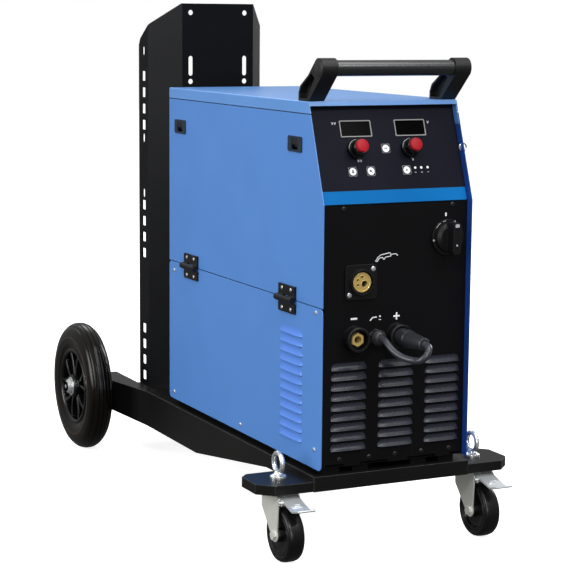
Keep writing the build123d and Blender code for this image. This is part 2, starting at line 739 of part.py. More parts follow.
door_bottom = SEAM_Z + SEAM_GAP / 2
door_top = SKIRT_Z - SEAM_GAP
with BuildPart() as service_door:
    prism(
        side_plane(-HALF),
        [
            (FRONT, door_bottom),
            (FRONT, KINK_Z),
            (front_at(door_top), door_top),
            (REAR, door_top),
            (REAR, door_bottom),
        ],
        SHEET,
    )
    # folded stiffeners just inside the edges, and the openings for the two latches
    slab((-HALF + SHEET, -HALF + 8), (FRONT + 85, REAR - 10), (door_top - 12, door_top - 10.5))
    slab((-HALF + SHEET, -HALF + 8), (FRONT + 18, REAR - 10), (door_bottom + 20, door_bottom + 21.5))
    for y in LATCH_Y.values():
        slab((-HALF - 1, -HALF + 3), (y - 21, y + 21), (LATCH_Z - 11, LATCH_Z + 11), mode=Mode.SUBTRACT)
        slab((-HALF + SHEET, -HALF + 9), (y - 10, y + 10), (door_top - 14, door_top), mode=Mode.SUBTRACT)
save(service_door, "service_door")

with BuildPart() as right_side_panel:
    prism(
        side_plane(HALF - SHEET),
        [
            (FRONT, BASE_Z),
            (FRONT, KINK_Z),
            (front_at(door_top), door_top),
            (REAR, door_top),
            (REAR, BASE_Z),
        ],
        SHEET,
    )
    for y, z in SIDE_SCREWS:
        rod(across_axis(HALF, FRONT + y, z), SCREW_HOLE_R, -4, 2, mode=Mode.SUBTRACT)
    # ventilation slots low at the rear, for the power bay
    with BuildSketch(side_plane(HALF - 5)) as vents:
        with Locations((REAR - 120, 330)):
            with GridLocations(0, 17.4, 1, 10):
                SlotOverall(90, 6)
    extrude(vents.sketch, amount=10, mode=Mode.SUBTRACT)
save(right_side_panel, "right_side_panel")

with BuildPart() as roof_panel:
    prism(
        side_plane(-HALF),
        [
            (front_at(SKIRT_Z), SKIRT_Z),
            (front_at(ROOF_Z), ROOF_Z),
            (REAR, ROOF_Z),
            (REAR, SKIRT_Z),
        ],
        WIDTH,
    )
    long_edges = roof_panel.edges().filter_by(Axis.Y).group_by(Axis.Z)[-1]
    fillet(long_edges, radius=2.5)
    prism(
        side_plane(-HALF + SHEET),
        [
            (front_at(SKIRT_Z) - 20, SKIRT_Z - 5),
            (front_at(ROOF_Z) - 20, ROOF_Z - SHEET - 1),
            (REAR - SHEET, ROOF_Z - SHEET - 1),
            (REAR - SHEET, SKIRT_Z - 5),
        ],
        WIDTH - 2 * SHEET,
        mode=Mode.SUBTRACT,
    )
    # the front edge is folded down in front of the control panel
    prism(
        side_plane(-HALF + SHEET),
        [
            (front_at(ROOF_Z - 8), ROOF_Z - 8),
            (front_at(ROOF_Z - 2), ROOF_Z - 2),
            (front_at(ROOF_Z - 2) + 2, ROOF_Z - 2),
            (front_at(ROOF_Z - 8) + 2, ROOF_Z - 8),
        ],
        WIDTH - 2 * SHEET,
    )
save(roof_panel, "roof_panel")

with BuildPart() as rear_panel:
    slab((-INNER, INNER), (REAR - SHEET, REAR), (BASE_Z + 3, SKIRT_Z - SEAM_GAP))
    # the fan grille: rings of curved slots
    with BuildSketch(front_plane(REAR + 1)) as grille:
        for radius in (16, 26, 36, 46, 56):
            with Locations((FAN_X, FAN_Z)):
                Circle(radius + 3)
                Circle(radius - 3, mode=Mode.SUBTRACT)
        with Locations((FAN_X, FAN_Z)):
            Rectangle(130, 7, rotation=45, mode=Mode.SUBTRACT)
            Rectangle(130, 7, rotation=-45, mode=Mode.SUBTRACT)
    extrude(grille.sketch, amount=4, mode=Mode.SUBTRACT)
    with BuildSketch(front_plane(REAR + 1)) as rear_vents:
        with Locations((-62, 300), (62, 300)):
            with GridLocations(0, 18, 1, 7):
                SlotOverall(84, 6)
    extrude(rear_vents.sketch, amount=4, mode=Mode.SUBTRACT)
    rod(forward_axis(MAINS_X, REAR, INLET_Z), 14, -3, 3, mode=Mode.SUBTRACT)
    rod(forward_axis(GAS_X, REAR, INLET_Z), 8, -3, 3, mode=Mode.SUBTRACT)
    for x, z in REAR_SCREWS:
        rod(forward_axis(x, REAR, z), SCREW_HOLE_R, -3, 3, mode=Mode.SUBTRACT)
save(rear_panel, "rear_panel")

# ================================================================= door hardware
KNUCKLE_R = 6.0
PIN_R = 2.5
LEAF_HALF = 33.0
LEAF_SHEET = 4.5
KNUCKLE_HALF = 12.0
LEAF_REACH = 25.0
LEAF_CLEAR = 7.0               # a leaf's flat part starts this far from the seam


def leaf(y, up, knuckles):
    """One hinge leaf: up is +1 for the door's leaf and -1 for the fixed one."""
    ends = sorted((SEAM_Z + up * LEAF_CLEAR, SEAM_Z + up * LEAF_REACH))
    slab((-HALF - LEAF_SHEET, -HALF), (y - LEAF_HALF, y + LEAF_HALF), ends)
    for start, end in knuckles:
        rod(forward_axis(HINGE_X, y, SEAM_Z), KNUCKLE_R, start, end)
        neck = sorted((SEAM_Z + up * 1.5, SEAM_Z + up * LEAF_CLEAR))
        slab((HINGE_X + 2, -HALF), (y - end, y - start), neck)


with BuildPart() as hinge_fixed_leaves:
    for y in HINGE_Y:
        leaf(y, -1, [(-KNUCKLE_HALF, KNUCKLE_HALF)])
        knuckle = forward_axis(HINGE_X, y, SEAM_Z)
        rod(knuckle, PIN_R + 0.02, -KNUCKLE_HALF - 1, KNUCKLE_HALF + 1, mode=Mode.SUBTRACT)
    # the hinge pins, separate solids held in the fixed leaves
    for y in HINGE_Y:
        rod(forward_axis(HINGE_X, y, SEAM_Z), PIN_R, -LEAF_HALF, LEAF_HALF)
save(hinge_fixed_leaves, "hinge_fixed_leaves")

with BuildPart() as hinge_door_leaves:
    for y in HINGE_Y:
        leaf(y, 1, [(-LEAF_HALF, -KNUCKLE_HALF - 0.5), (KNUCKLE_HALF + 0.5, LEAF_HALF)])
        knuckle = forward_axis(HINGE_X, y, SEAM_Z)
        rod(knuckle, PIN_R + RUNNING_FIT, -LEAF_HALF - 1, LEAF_HALF + 1, mode=Mode.SUBTRACT)
save(hinge_door_leaves, "hinge_door_leaves")

LATCH_OPENING = (27.0, 20.0)
with BuildPart() as latch_bezels:
    for y in LATCH_Y.values():
        rounded_plate(side_plane(-HALF), (y, LATCH_Z), (55, 28), 4, -2.5, 0)
        rounded_plate(side_plane(-HALF), (y, LATCH_Z), (41.6, 21.6), 2, 0, SHEET)
        rounded_plate(side_plane(-HALF), (y, LATCH_Z), LATCH_OPENING, 2, -3, SHEET + 1, mode=Mode.SUBTRACT)
save(latch_bezels, "latch_bezels")

for name, y in LATCH_Y.items():
    with BuildPart() as latch_slider:
        # the ridged thumb piece, and the tongue that reaches up to the door's top edge
        slab((-HALF - 1.8, -HALF + 2.5), (y - 12, y + 12), (LATCH_Z - 1.5, LATCH_Z + 9.5))
        for ridge in range(3):
            z = LATCH_Z + 0.5 + 3 * ridge
            slab((-HALF - 2.4, -HALF - 1.8), (y - 11, y + 11), (z, z + 1.4))
        slab((-HALF + 2.0, -HALF + 4.0), (y - 8, y + 8), (LATCH_Z - 6, door_top - 3))
    save(latch_slider, name)

# ================================================================= carrying handle
GRIP_Y, GRIP_Z, GRIP_R = FRONT + 29.0, 871.5, 14.0
RING_OUT_R = 17.8
BRACKET_OUT = HALF - 1.5
BRACKET_IN = 118.0
with BuildPart() as handle_grip:
    rod(across_axis(0, GRIP_Y, GRIP_Z), GRIP_R, -BRACKET_OUT + 4.1, BRACKET_OUT - 4.1)
    rod(across_axis(0, GRIP_Y, GRIP_Z), GRIP_R - 2, -BRACKET_OUT, BRACKET_OUT, mode=Mode.SUBTRACT)
save(handle_grip, "handle_grip")

FOOT_FRONT = FRONT + 66.0
FOOT_REAR = FRONT + 106.0
with BuildPart() as handle_brackets:
    bracket_plane = side_plane(BRACKET_IN)
    thickness = BRACKET_OUT - BRACKET_IN
    with BuildSketch(bracket_plane) as leg:
        with BuildLine():
            Polyline(
                (GRIP_Y - 13.5, GRIP_Z - 11.5),
                (FOOT_FRONT, ROOF_Z),
                (FOOT_REAR, ROOF_Z),
                (FOOT_REAR, ROOF_Z + 14),
                (FOOT_REAR - 7, ROOF_Z + 27),
                (GRIP_Y + 40, GRIP_Z - 13),
                (GRIP_Y + 12, GRIP_Z + 13),
                close=True,
            )
        make_face()
        with Locations((GRIP_Y, GRIP_Z)):
            Circle(RING_OUT_R)
    extrude(leg.sketch, amount=thickness)
    # hollow pockets on both faces of the leg leave a web between two flanges
    for start, depth in ((thickness - 12.5, 12.5), (0, 12.5)):
        prism(
            bracket_plane.offset(start),
            [
                (GRIP_Y + 14, GRIP_Z - 18),
                (FOOT_FRONT + 6.5, ROOF_Z + 4),
                (FOOT_REAR - 4, ROOF_Z + 4),
                (FOOT_REAR - 4, ROOF_Z + 13),
                (FOOT_REAR - 10, ROOF_Z + 24),
                (GRIP_Y + 27, GRIP_Z - 9),
            ],
            depth,
            mode=Mode.SUBTRACT,
        )
    rod(across_axis(0, GRIP_Y, GRIP_Z), GRIP_R + 0.02, BRACKET_IN - 1, BRACKET_OUT - 4, mode=Mode.SUBTRACT)
    mirror(about=Plane.YZ)
save(handle_brackets, "handle_brackets")

# ================================================================= control panel fittings
with BuildPart() as display_modules:
    for centre in DISPLAYS:
        rounded_plate(SLOPE, centre, (61, 29), 3, 0, OVERLAY)
        rounded_plate(SLOPE, centre, (63, 31), 4, OVERLAY, OVERLAY + 1.4)
        rounded_plate(SLOPE, centre, (56, 24), 2, OVERLAY, OVERLAY + 2, mode=Mode.SUBTRACT)
save(display_modules, "display_modules")

for name, (x, s) in KNOBS.items():
    knob_axis = Plane(origin=SLOPE.from_local_coords((x, s, 0)), x_dir=SLOPE.x_dir, z_dir=SLOPE.z_dir)
    with BuildPart() as knob:
        turned(
            knob_axis,
            [
                (0, OVERLAY + 0.6),
                (16.5, OVERLAY + 0.6),
                (16.5, OVERLAY + 4),
                (13.6, OVERLAY + 8),
                (13.2, OVERLAY + 20),
                (0, OVERLAY + 20),
            ],
        )
        rod(knob_axis, KNOB_SHAFT_R, -16, OVERLAY + 1)
        # the coloured cap, a separate solid pressed on the knob's end
        turned(
            knob_axis,
            [
                (0, OVERLAY + 20.05),
                (12.9, OVERLAY + 20.05),
                (12.6, OVERLAY + 28),
                (11.2, OVERLAY + 29.5),
                (0, OVERLAY + 29.5),
            ],
        )
    save(knob, name)

for name, centre in BUTTONS.items():
    with BuildPart() as button:
        rounded_plate(SLOPE, centre, (BUTTON_SIDE, BUTTON_SIDE), 3, OVERLAY - 0.6, OVERLAY + 1.0)
        rounded_plate(SLOPE, centre, (BUTTON_SIDE - 5, BUTTON_SIDE - 5), 1, -8, OVERLAY - 0.6)
    save(button, name)

# ================================================================= torch connector and sockets
FLANGE_SIDE = 62.0
FLANGE_SHEET = 4.0
COLLAR_R = 23.0
CONTACT_R = 17.8
torch_axis = forward_axis(TORCH_X, PANEL_Y, TORCH_Z)
with BuildPart() as torch_connector_body:
    rounded_plate(front_plane(PANEL_Y), (TORCH_X, TORCH_Z), (FLANGE_SIDE, FLANGE_SIDE), 7, 0, FLANGE_SHEET)
    rod(torch_axis, COLLAR_R, FLANGE_SHEET, FLANGE_SHEET + 7)
    rod(torch_axis, 18.9, -30, 0)
    rod(torch_axis, COLLAR_R - 3, FLANGE_SHEET, FLANGE_SHEET + 8, mode=Mode.SUBTRACT)
    rod(torch_axis, CONTACT_R + 0.02, -31, FLANGE_SHEET + 8, mode=Mode.SUBTRACT)
    for x, z in TORCH_SCREWS:
        rod(forward_axis(x, PANEL_Y, z), 2.1, -2, 6, mode=Mode.SUBTRACT)
save(torch_connector_body, "torch_connector_body")

SOCKET_LENGTH = PANEL_Y - SOCKET_FRONT
with BuildPart() as output_sockets:
    for x in (MINUS_X, PLUS_X):
        socket_axis = forward_axis(x, PANEL_Y, SOCKET_Z)
        turned(
            socket_axis,
            [
                (11.5, 0),
                (SOCKET_R + 1, 0),
                (SOCKET_R + 1, 4),
                (SOCKET_R, 6),
                (SOCKET_R, SOCKET_LENGTH - 1.5),
                (SOCKET_R - 1.5, SOCKET_LENGTH),
                (SOCKET_R - 4.5, SOCKET_LENGTH),
                (SOCKET_R - 4.5, 5),
                (11.5, 5),
            ],
        )
        rod(socket_axis, 14.5, -14, 0)
        rod(socket_axis, 11.5, -15, 2, mode=Mode.SUBTRACT)
save(output_sockets, "output_sockets")

CONTACT_BORE_R = 6.6
PLUG_PIN_R = 6.4
with BuildPart() as brass_contacts:
    # the torch contact: a large gas and wire bore with three pin holes beside it
    rod(torch_axis, CONTACT_R, -56, FLANGE_SHEET + 3)
    rod(forward_axis(TORCH_X + 5.0, PANEL_Y, TORCH_Z - 3.0), 5.6, -57, 10, mode=Mode.SUBTRACT)
    for dx, dz in ((0.0, 9.5), (-8.0, 4.0), (-8.0, -4.6)):
        rod(forward_axis(TORCH_X + dx, PANEL_Y, TORCH_Z + dz), 2.2, -20, 10, mode=Mode.SUBTRACT)
    # the two current sockets: a hexagon in front of a threaded stud
    for x in (MINUS_X, PLUS_X):
        socket_axis = forward_axis(x, PANEL_Y, SOCKET_Z)
        with BuildSketch(socket_axis.offset(5.05)) as hexagon:
            RegularPolygon(12.6, 6, rotation=30)
        extrude(hexagon.sketch, amount=11)
        rod(socket_axis, 11.45, -34, 5.05)
        rod(socket_axis, CONTACT_BORE_R, -12, 17, mode=Mode.SUBTRACT)
save(brass_contacts, "brass_contacts")

GLAND_LENGTH = PANEL_Y - GLAND_FRONT
with BuildPart() as cable_gland:
    gland_axis = forward_axis(GLAND_X, PANEL_Y, SOCKET_Z)
    with BuildSketch(gland_axis) as gland_base:
        RegularPolygon(15.5, 6, rotation=30)
    extrude(gland_base.sketch, amount=7)
    turned(
        gland_axis,
        [
            (0, -14),
            (9.8, -14),
            (9.8, 0),
            (14, 6),
            (14.5, 8),
            (14.5, GLAND_LENGTH - 7),
            (11.5, GLAND_LENGTH - 2),
            (9, GLAND_LENGTH),
            (0, GLAND_LENGTH),
        ],
    )
save(cable_gland, "cable_gland")

# The jumper cable: out of the gland, down in a short bight, and back up into the plug.
cable_points = [
    (GLAND_X, GLAND_FRONT, SOCKET_Z),
    (GLAND_X, FRONT - 22, SOCKET_Z),
    (GLAND_X + 1, FRONT - 37, SOCKET_Z - 10),
    (GLAND_X + 6, FRONT - 54, SOCKET_Z - 20),
    (GLAND_X + 14, FRONT - 71, SOCKET_Z - 26),
    (GLAND_X + 22, FRONT - 88, SOCKET_Z - 27),
    (PLUS_X - 18, FRONT - 106, SOCKET_Z - 25),
    (PLUS_X - 7, FRONT - 112, SOCKET_Z - 12),
    (PLUS_X, FRONT - 102, SOCKET_Z),
    (PLUS_X, PLUG_END, SOCKET_Z),
]


def corner_radii(points):
    """The largest arc that each corner of a route leaves room for."""
    route = [Vector(*point) for point in points]
    radii = []
    for before, here, after in zip(route, route[1:], route[2:]):
        half_turn = radians((here - before).get_angle(after - here)) / 2
        shorter = min((here - before).length, (after - here).length)
        radii.append(0.45 * shorter / tan(half_turn))
    return radii


cable_radii = corner_radii(cable_points)
print("jumper cable bend radii", [round(radius, 1) for radius in cable_radii])
with BuildPart() as jumper_cable:
    with BuildLine() as cable_line:
        FilletPolyline(*cable_points, radius=cable_radii)
    with BuildSketch(Plane(origin=cable_line.wire() @ 0, z_dir=cable_line.wire() % 0)):
        Circle(CABLE_R)
    sweep()
cable_length = cable_line.wire().length
cable_section = pi * CABLE_R**2
print("jumper cable length", round(cable_length, 1))
volume_ratio = jumper_cable.part.volume / cable_section / cable_length
print("jumper cable volume over section x length", round(volume_ratio, 4))
save(jumper_cable, "jumper_cable")

PLUG_NOSE = 5.0
with BuildPart() as jumper_plug:
    plug_axis = forward_axis(PLUS_X, SOCKET_FRONT, SOCKET_Z)
    plug_length = SOCKET_FRONT - PLUG_END
    turned(
        plug_axis,
        [
            (0, -PLUG_NOSE),
            (15.5, -PLUG_NOSE),
            (15.5, 0),
            (16.5, 0.5),
            (16.5, 26),
            (15.5, 28),
            (11, plug_length - 2),
            (10, plug_length),
            (0, plug_length),
        ],
    )
    rod(plug_axis, PLUG_PIN_R, -19, -PLUG_NOSE)
save(jumper_plug, "jumper_plug")

# ================================================================= main switch
switch_axis = forward_axis(SWITCH_X, PANEL_Y, SWITCH_Z)
SWITCH_PLATE_R = 32.0
with BuildPart() as switch_plate:
    rod(switch_axis, SWITCH_PLATE_R, 0, 6)
    rod(switch_axis, 7.8, -22, 0)
    rod(switch_axis, 4.0 + RUNNING_FIT, -23, 7, mode=Mode.SUBTRACT)
save(switch_plate, "switch_plate")

with BuildPart() as switch_knob:
    rod(switch_axis, 4.0, -18, 7)
    turned(switch_axis, [(0, 6.6), (27, 6.6), (25.5, 12), (19, 15), (0, 15)])
    rounded_plate(switch_axis, (0, 0), (15, 56), 4, 12, 38)
save(switch_knob, "main_switch_knob")

# ================================================================= screws
SCREW_HEAD = [(SCREW_R, 0.02), (4.2, 0.02), (4.2, 1.2), (3.0, 2.4), (0, 2.4), (0, 0.02)]
screw_places = [
    Plane(origin=(-HALF, FRONT + y, z), x_dir=(0, -1, 0), z_dir=(-1, 0, 0)) for y, z in SIDE_SCREWS
]
screw_places += [Plane(origin=(HALF, FRONT + y, z), x_dir=(0, 1, 0), z_dir=(1, 0, 0)) for y, z in SIDE_SCREWS]
screw_places += [forward_axis(x, PANEL_Y, z) for x, z in FRONT_SCREWS]
screw_places += [forward_axis(x, PANEL_Y - FLANGE_SHEET, z) for x, z in TORCH_SCREWS]
screw_places += [Plane(origin=(x, REAR, z), x_dir=(-1, 0, 0), z_dir=(0, 1, 0)) for x, z in REAR_SCREWS]
with BuildPart() as panel_screws:
    for place in screw_places:
        turned(place, SCREW_HEAD)
        rod(place, SCREW_R, -7, 0.5)
save(panel_screws, "panel_screws")

# ================================================================= inside the machine
DIVIDER_SHEET = 2.0
MOTOR_R = 29.0
ROLLER_Z = TORCH_Z - ROLLER_R - WIRE_GAP / 2
IDLER_Z = TORCH_Z + ROLLER_R + WIRE_GAP / 2
MANDREL_R = 25.0
MANDREL_END = DIVIDER_X - 112.0
with BuildPart() as divider_wall:
    prism(
        side_plane(DIVIDER_X),
        [
            (PANEL_Y + 60, BASE_Z + 3.2),
            (PANEL_Y + 60, KINK_Z),
            (front_at(SKIRT_Z) + 50, SKIRT_Z - 2),
            (REAR - SHEET - 0.3, SKIRT_Z - 2),
            (REAR - SHEET - 0.3, BASE_Z + 3.2),
        ],
        DIVIDER_SHEET,
    )
    rod(across_axis(DIVIDER_X, FEED_Y, ROLLER_Z), MOTOR_R + 2, -5, 5, mode=Mode.SUBTRACT)
    rod(across_axis(DIVIDER_X, SPOOL_Y, SPOOL_Z), 8, -5, 5, mode=Mode.SUBTRACT)
save(divider_wall, "divider_wall")

with BuildPart() as spool_mandrel:
    mandrel_axis = across_axis(0, SPOOL_Y, SPOOL_Z)
    rod(mandrel_axis, 38, DIVIDER_X - 6, DIVIDER_X)
    rod(mandrel_axis, MANDREL_R, MANDREL_END, DIVIDER_X - 6)
    rod(mandrel_axis, 8, DIVIDER_X, DIVIDER_X + 14)
    # the retaining nut on the free end
    rod(mandrel_axis, 31, MANDREL_END - 7, MANDREL_END)
save(spool_mandrel, "spool_mandrel")

SPOOL_BORE_R = MANDREL_R + RUNNING_FIT
WINDING_R = 118.0
with BuildPart() as wire_spool:
    spool_axis = across_axis(SPOOL_X, SPOOL_Y, SPOOL_Z)
    turned(
        spool_axis,
        [
            (SPOOL_BORE_R, -SPOOL_HALF),
            (SPOOL_R, -SPOOL_HALF),
            (SPOOL_R, -SPOOL_HALF + 5),
            (58, -SPOOL_HALF + 5),
            (58, SPOOL_HALF - 5),
            (SPOOL_R, SPOOL_HALF - 5),
            (SPOOL_R, SPOOL_HALF),
            (SPOOL_BORE_R, SPOOL_HALF),
        ],
    )
    with BuildSketch(spool_axis.offset(-SPOOL_HALF - 1)) as flange_windows:
        with PolarLocations(42, 6):
            Circle(8)
    extrude(flange_windows.sketch, amount=2 * SPOOL_HALF + 2, mode=Mode.SUBTRACT)
    # the wire wound on the spool, a separate solid
    turned(
        spool_axis,
        [
            (58.05, -SPOOL_HALF + 5.05),
            (WINDING_R, -SPOOL_HALF + 5.05),
            (WINDING_R, SPOOL_HALF - 5.05),
            (58.05, SPOOL_HALF - 5.05),
        ],
    )
save(wire_spool, "wire_spool")

FEED_PLATE = (FEED_X + 10.5, FEED_X + 18.5)
ARM_X = (FEED_X - 16.0, FEED_X - 9.0)
ROLLER_HALF = 7.0
SHAFT_R = 5.0
ARM_PIN_R = 4.0
with BuildPart() as wire_feeder:
    slab(FEED_PLATE, (FEED_Y - 55, FEED_Y + 55), (ROLLER_Z - 42, TORCH_Z + 48))
    slab((FEED_PLATE[0], DIVIDER_X), (FEED_Y - 55, FEED_Y + 55), (ROLLER_Z - 48, ROLLER_Z - 42))
    # the gear motor through the divider, and the pins of the arm and the wire guides
    rod(across_axis(0, FEED_Y, ROLLER_Z), MOTOR_R, FEED_PLATE[1], 70)
    rod(across_axis(0, FEED_Y, ROLLER_Z), MOTOR_R - 6, 70, 82)
    rod(across_axis(0, ARM_PIVOT_Y, ARM_PIVOT_Z), ARM_PIN_R, ARM_X[0] - 2, FEED_PLATE[0])
    for start, end in ((FEED_Y - 55, FEED_Y - 24), (FEED_Y + 24, FEED_Y + 60)):
        slab((FEED_X - 5, FEED_PLATE[0]), (start, end), (TORCH_Z - 5, TORCH_Z + 5))
        rod(forward_axis(FEED_X, 0, TORCH_Z), 1.2, -end - 1, -start + 1, mode=Mode.SUBTRACT)
    rod(across_axis(0, FEED_Y, ROLLER_Z), SHAFT_R + RUNNING_FIT, FEED_PLATE[0] - 1, FEED_PLATE[1] + 12,
        mode=Mode.SUBTRACT)
save(wire_feeder, "wire_feeder")

GROOVE = 0.7
roller_section = [
    (0, -ROLLER_HALF),
    (ROLLER_R, -ROLLER_HALF),
    (ROLLER_R, -GROOVE),
    (ROLLER_R - GROOVE, 0),
    (ROLLER_R, GROOVE),
    (ROLLER_R, ROLLER_HALF),
    (0, ROLLER_HALF),
]
with BuildPart() as drive_roller:
    turned(across_axis(FEED_X, FEED_Y, ROLLER_Z), roller_section)
    rod(across_axis(0, FEED_Y, ROLLER_Z), SHAFT_R, FEED_X + ROLLER_HALF, FEED_PLATE[1] + 11)
save(drive_roller, "drive_roller")

with BuildPart() as pressure_arm:
    prism(
        side_plane(ARM_X[0]),
        [
            (ARM_PIVOT_Y + 12, ARM_PIVOT_Z - 10),
            (ARM_PIVOT_Y + 12, ARM_PIVOT_Z + 10),
            (FEED_Y - 40, ARM_PIVOT_Z + 14),
            (FEED_Y - 62, ARM_PIVOT_Z + 10),
            (FEED_Y - 62, ARM_PIVOT_Z + 2),
            (FEED_Y - 16, IDLER_Z - 12),
            (FEED_Y + 16, IDLER_Z - 12),
        ],
        ARM_X[1] - ARM_X[0],
    )
    rod(across_axis(0, FEED_Y, IDLER_Z), ARM_PIN_R, ARM_X[1], FEED_X + ROLLER_HALF)
    rod(across_axis(0, ARM_PIVOT_Y, ARM_PIVOT_Z), ARM_PIN_R + RUNNING_FIT, ARM_X[0] - 1, ARM_X[1] + 1,
        mode=Mode.SUBTRACT)
save(pressure_arm, "pressure_arm")

with BuildPart() as idler_roller:
    idler_axis = across_axis(FEED_X, FEED_Y, IDLER_Z)
    rod(idler_axis, ROLLER_R, -ROLLER_HALF, ROLLER_HALF)
    rod(idler_axis, ARM_PIN_R + RUNNING_FIT, -ROLLER_HALF - 1, ROLLER_HALF + 1, mode=Mode.SUBTRACT)
save(idler_roller, "idler_roller")

FIN_COUNT = 11
FIN_PITCH = 11.0
with BuildPart() as power_module:
    # a finned heat sink on the floor, and the transformer behind it
    slab((10, 136), (FRONT + 190, FRONT + 420), (BASE_Z + 3, BASE_Z + 13))
    for fin in range(FIN_COUNT):
        x = 14 + fin * FIN_PITCH
        slab((x, x + 3), (FRONT + 190, FRONT + 420), (BASE_Z + 13, BASE_Z + 73))
    slab((20, 126), (FRONT + 460, FRONT + 600), (BASE_Z + 3, BASE_Z + 23))
    slab((20, 126), (FRONT + 460, FRONT + 600), (BASE_Z + 123, BASE_Z + 143))
    for y in (FRONT + 470, FRONT + 520, FRONT + 570):
        slab((33, 113), (y, y + 20), (BASE_Z + 23, BASE_Z + 123))
save(power_module, "power_module")

with BuildPart() as rear_fittings:
    # the fan's square frame with its spider, the mains gland and the gas inlet
    with BuildSketch(front_plane(REAR - SHEET)) as fan_frame:
        with Locations((FAN_X, FAN_Z)):
            RectangleRounded(2 * FAN_R + 8, 2 * FAN_R + 8, 6)
            Circle(FAN_R, mode=Mode.SUBTRACT)
    extrude(fan_frame.sketch, amount=36)
    fan_axis = forward_axis(FAN_X, REAR - SHEET, FAN_Z)
    with BuildSketch(fan_axis) as spider:
        Circle(20)
        Rectangle(2 * FAN_R + 4, 6)
        Rectangle(6, 2 * FAN_R + 4)
    extrude(spider.sketch, amount=4)
    rod(fan_axis, 3.0, 4, 30)
    turned(
        Plane(origin=(MAINS_X, REAR, INLET_Z), x_dir=(-1, 0, 0), z_dir=(0, 1, 0)),
        [(9, -16), (13.8, -16), (13.8, 0), (19, 0), (19, 8), (15, 22), (9, 24)],
    )
    turned(
        Plane(origin=(GAS_X, REAR, INLET_Z), x_dir=(-1, 0, 0), z_dir=(0, 1, 0)),
        [(0, -16), (7.8, -16), (7.8, 0), (12, 0), (12, 5), (6, 5), (6, 20), (4, 24), (0, 24)],
    )
save(rear_fittings, "rear_fittings")

with BuildPart() as fan_rotor:
    rotor_axis = forward_axis(FAN_X, REAR - SHEET - 8, FAN_Z)
    rod(rotor_axis, 18, 0, 20)
    with BuildSketch() as blade_section:
        with Locations((35, 0)):
            Rectangle(42, 5)
    with BuildSketch(rotor_axis.offset(2)) as blades:
        with PolarLocations(0, 7):
            add(blade_section.sketch)
    extrude(blades.sketch, amount=16)
    rod(rotor_axis, 3.0 + RUNNING_FIT, -1, 25, mode=Mode.SUBTRACT)
save(fan_rotor, "fan_rotor")
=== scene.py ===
"""The looks of a MIG welding machine on its cart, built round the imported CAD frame.

Places are in metres. Lengths given to a Face or a helper are in millimetres.
"""

import math

import bmesh
import bpy
from mathutils import Matrix, Vector


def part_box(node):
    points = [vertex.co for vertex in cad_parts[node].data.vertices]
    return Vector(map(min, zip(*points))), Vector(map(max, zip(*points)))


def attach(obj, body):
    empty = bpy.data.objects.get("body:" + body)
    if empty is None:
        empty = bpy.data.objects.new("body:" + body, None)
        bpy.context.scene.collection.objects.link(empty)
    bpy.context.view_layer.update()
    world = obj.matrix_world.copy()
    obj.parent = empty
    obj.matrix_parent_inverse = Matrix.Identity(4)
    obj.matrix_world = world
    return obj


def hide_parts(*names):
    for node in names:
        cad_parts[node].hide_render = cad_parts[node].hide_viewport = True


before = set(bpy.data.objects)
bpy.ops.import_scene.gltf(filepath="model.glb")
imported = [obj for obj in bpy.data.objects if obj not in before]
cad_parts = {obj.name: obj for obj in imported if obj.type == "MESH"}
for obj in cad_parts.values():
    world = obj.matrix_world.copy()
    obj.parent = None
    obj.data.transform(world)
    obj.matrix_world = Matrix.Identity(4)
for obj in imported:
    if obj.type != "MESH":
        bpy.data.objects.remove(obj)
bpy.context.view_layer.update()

MM = 0.001


# ---------------------------------------------------------------- places, from the frame
def low(node):
    """The node's lowest corner."""
    return Vector(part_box(node)[0])


def high(node):
    """The node's highest corner."""
    return Vector(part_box(node)[1])


def middle(node):
    """The middle of the node's box."""
    return (low(node) + high(node)) / 2


FRONT = low("left_lower_panel").y
HALF = high("roof_panel").x
SHEET = 1.5 * MM
PANEL_Y = high("front_panel").y - SHEET
RECESS = PANEL_Y - FRONT
# where the upright front ends and the control panel starts to lean back
KINK_Z = 636.5 * MM
LEAN = math.radians(19.6)
# millimetres up and out from the control panel's sheet
OVERLAY = 1.8
BAND_TOP = 27.5


class Face:
    """A flat surface with its own axes: u across, v up, n outwards."""

    def __init__(self, origin, u, v, n):
        self.origin = Vector(origin)
        self.u = Vector(u)
        self.v = Vector(v)
        self.n = Vector(n)

    def at(self, u, v, n=0.0):
        """The point u across, v up and n out, given in millimetres."""
        return self.origin + (self.u * u + self.v * v + self.n * n) * MM


FRONT_FACE = Face((0, PANEL_Y, 0), (1, 0, 0), (0, 0, 1), (0, -1, 0))
LEFT_FACE = Face((-HALF, FRONT, 0), (0, 1, 0), (0, 0, 1), (-1, 0, 0))
SLOPE_FACE = Face(
    (0, FRONT + RECESS * math.cos(LEAN), KINK_Z - RECESS * math.sin(LEAN)),
    (1, 0, 0),
    (0, math.sin(LEAN), math.cos(LEAN)),
    (0, -math.cos(LEAN), math.sin(LEAN)),
)


# ---------------------------------------------------------------- mesh helpers
def finish_mesh(name, bm, material, body, smooth_angle=35, replaces=()):
    """Turns a bmesh into a piece with a material, riding on its body."""
    bmesh.ops.recalc_face_normals(bm, faces=bm.faces)
    mesh = bpy.data.meshes.new(name)
    bm.to_mesh(mesh)
    bm.free()
    for polygon in mesh.polygons:
        polygon.use_smooth = True
    mesh.set_sharp_from_angle(angle=math.radians(smooth_angle))
    piece = bpy.data.objects.new(name, mesh)
    bpy.context.scene.collection.objects.link(piece)
    piece.data.materials.append(material)
    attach(piece, body)
    if replaces:
        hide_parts(*replaces)
    return piece


def bevel(piece, width):
    """Rounds a piece's sharp edges, in millimetres."""
    modifier = piece.modifiers.new("bevel", "BEVEL")
    modifier.width = width * MM
    modifier.segments = 2
    modifier.limit_method = "ANGLE"
    modifier.angle_limit = math.radians(35)


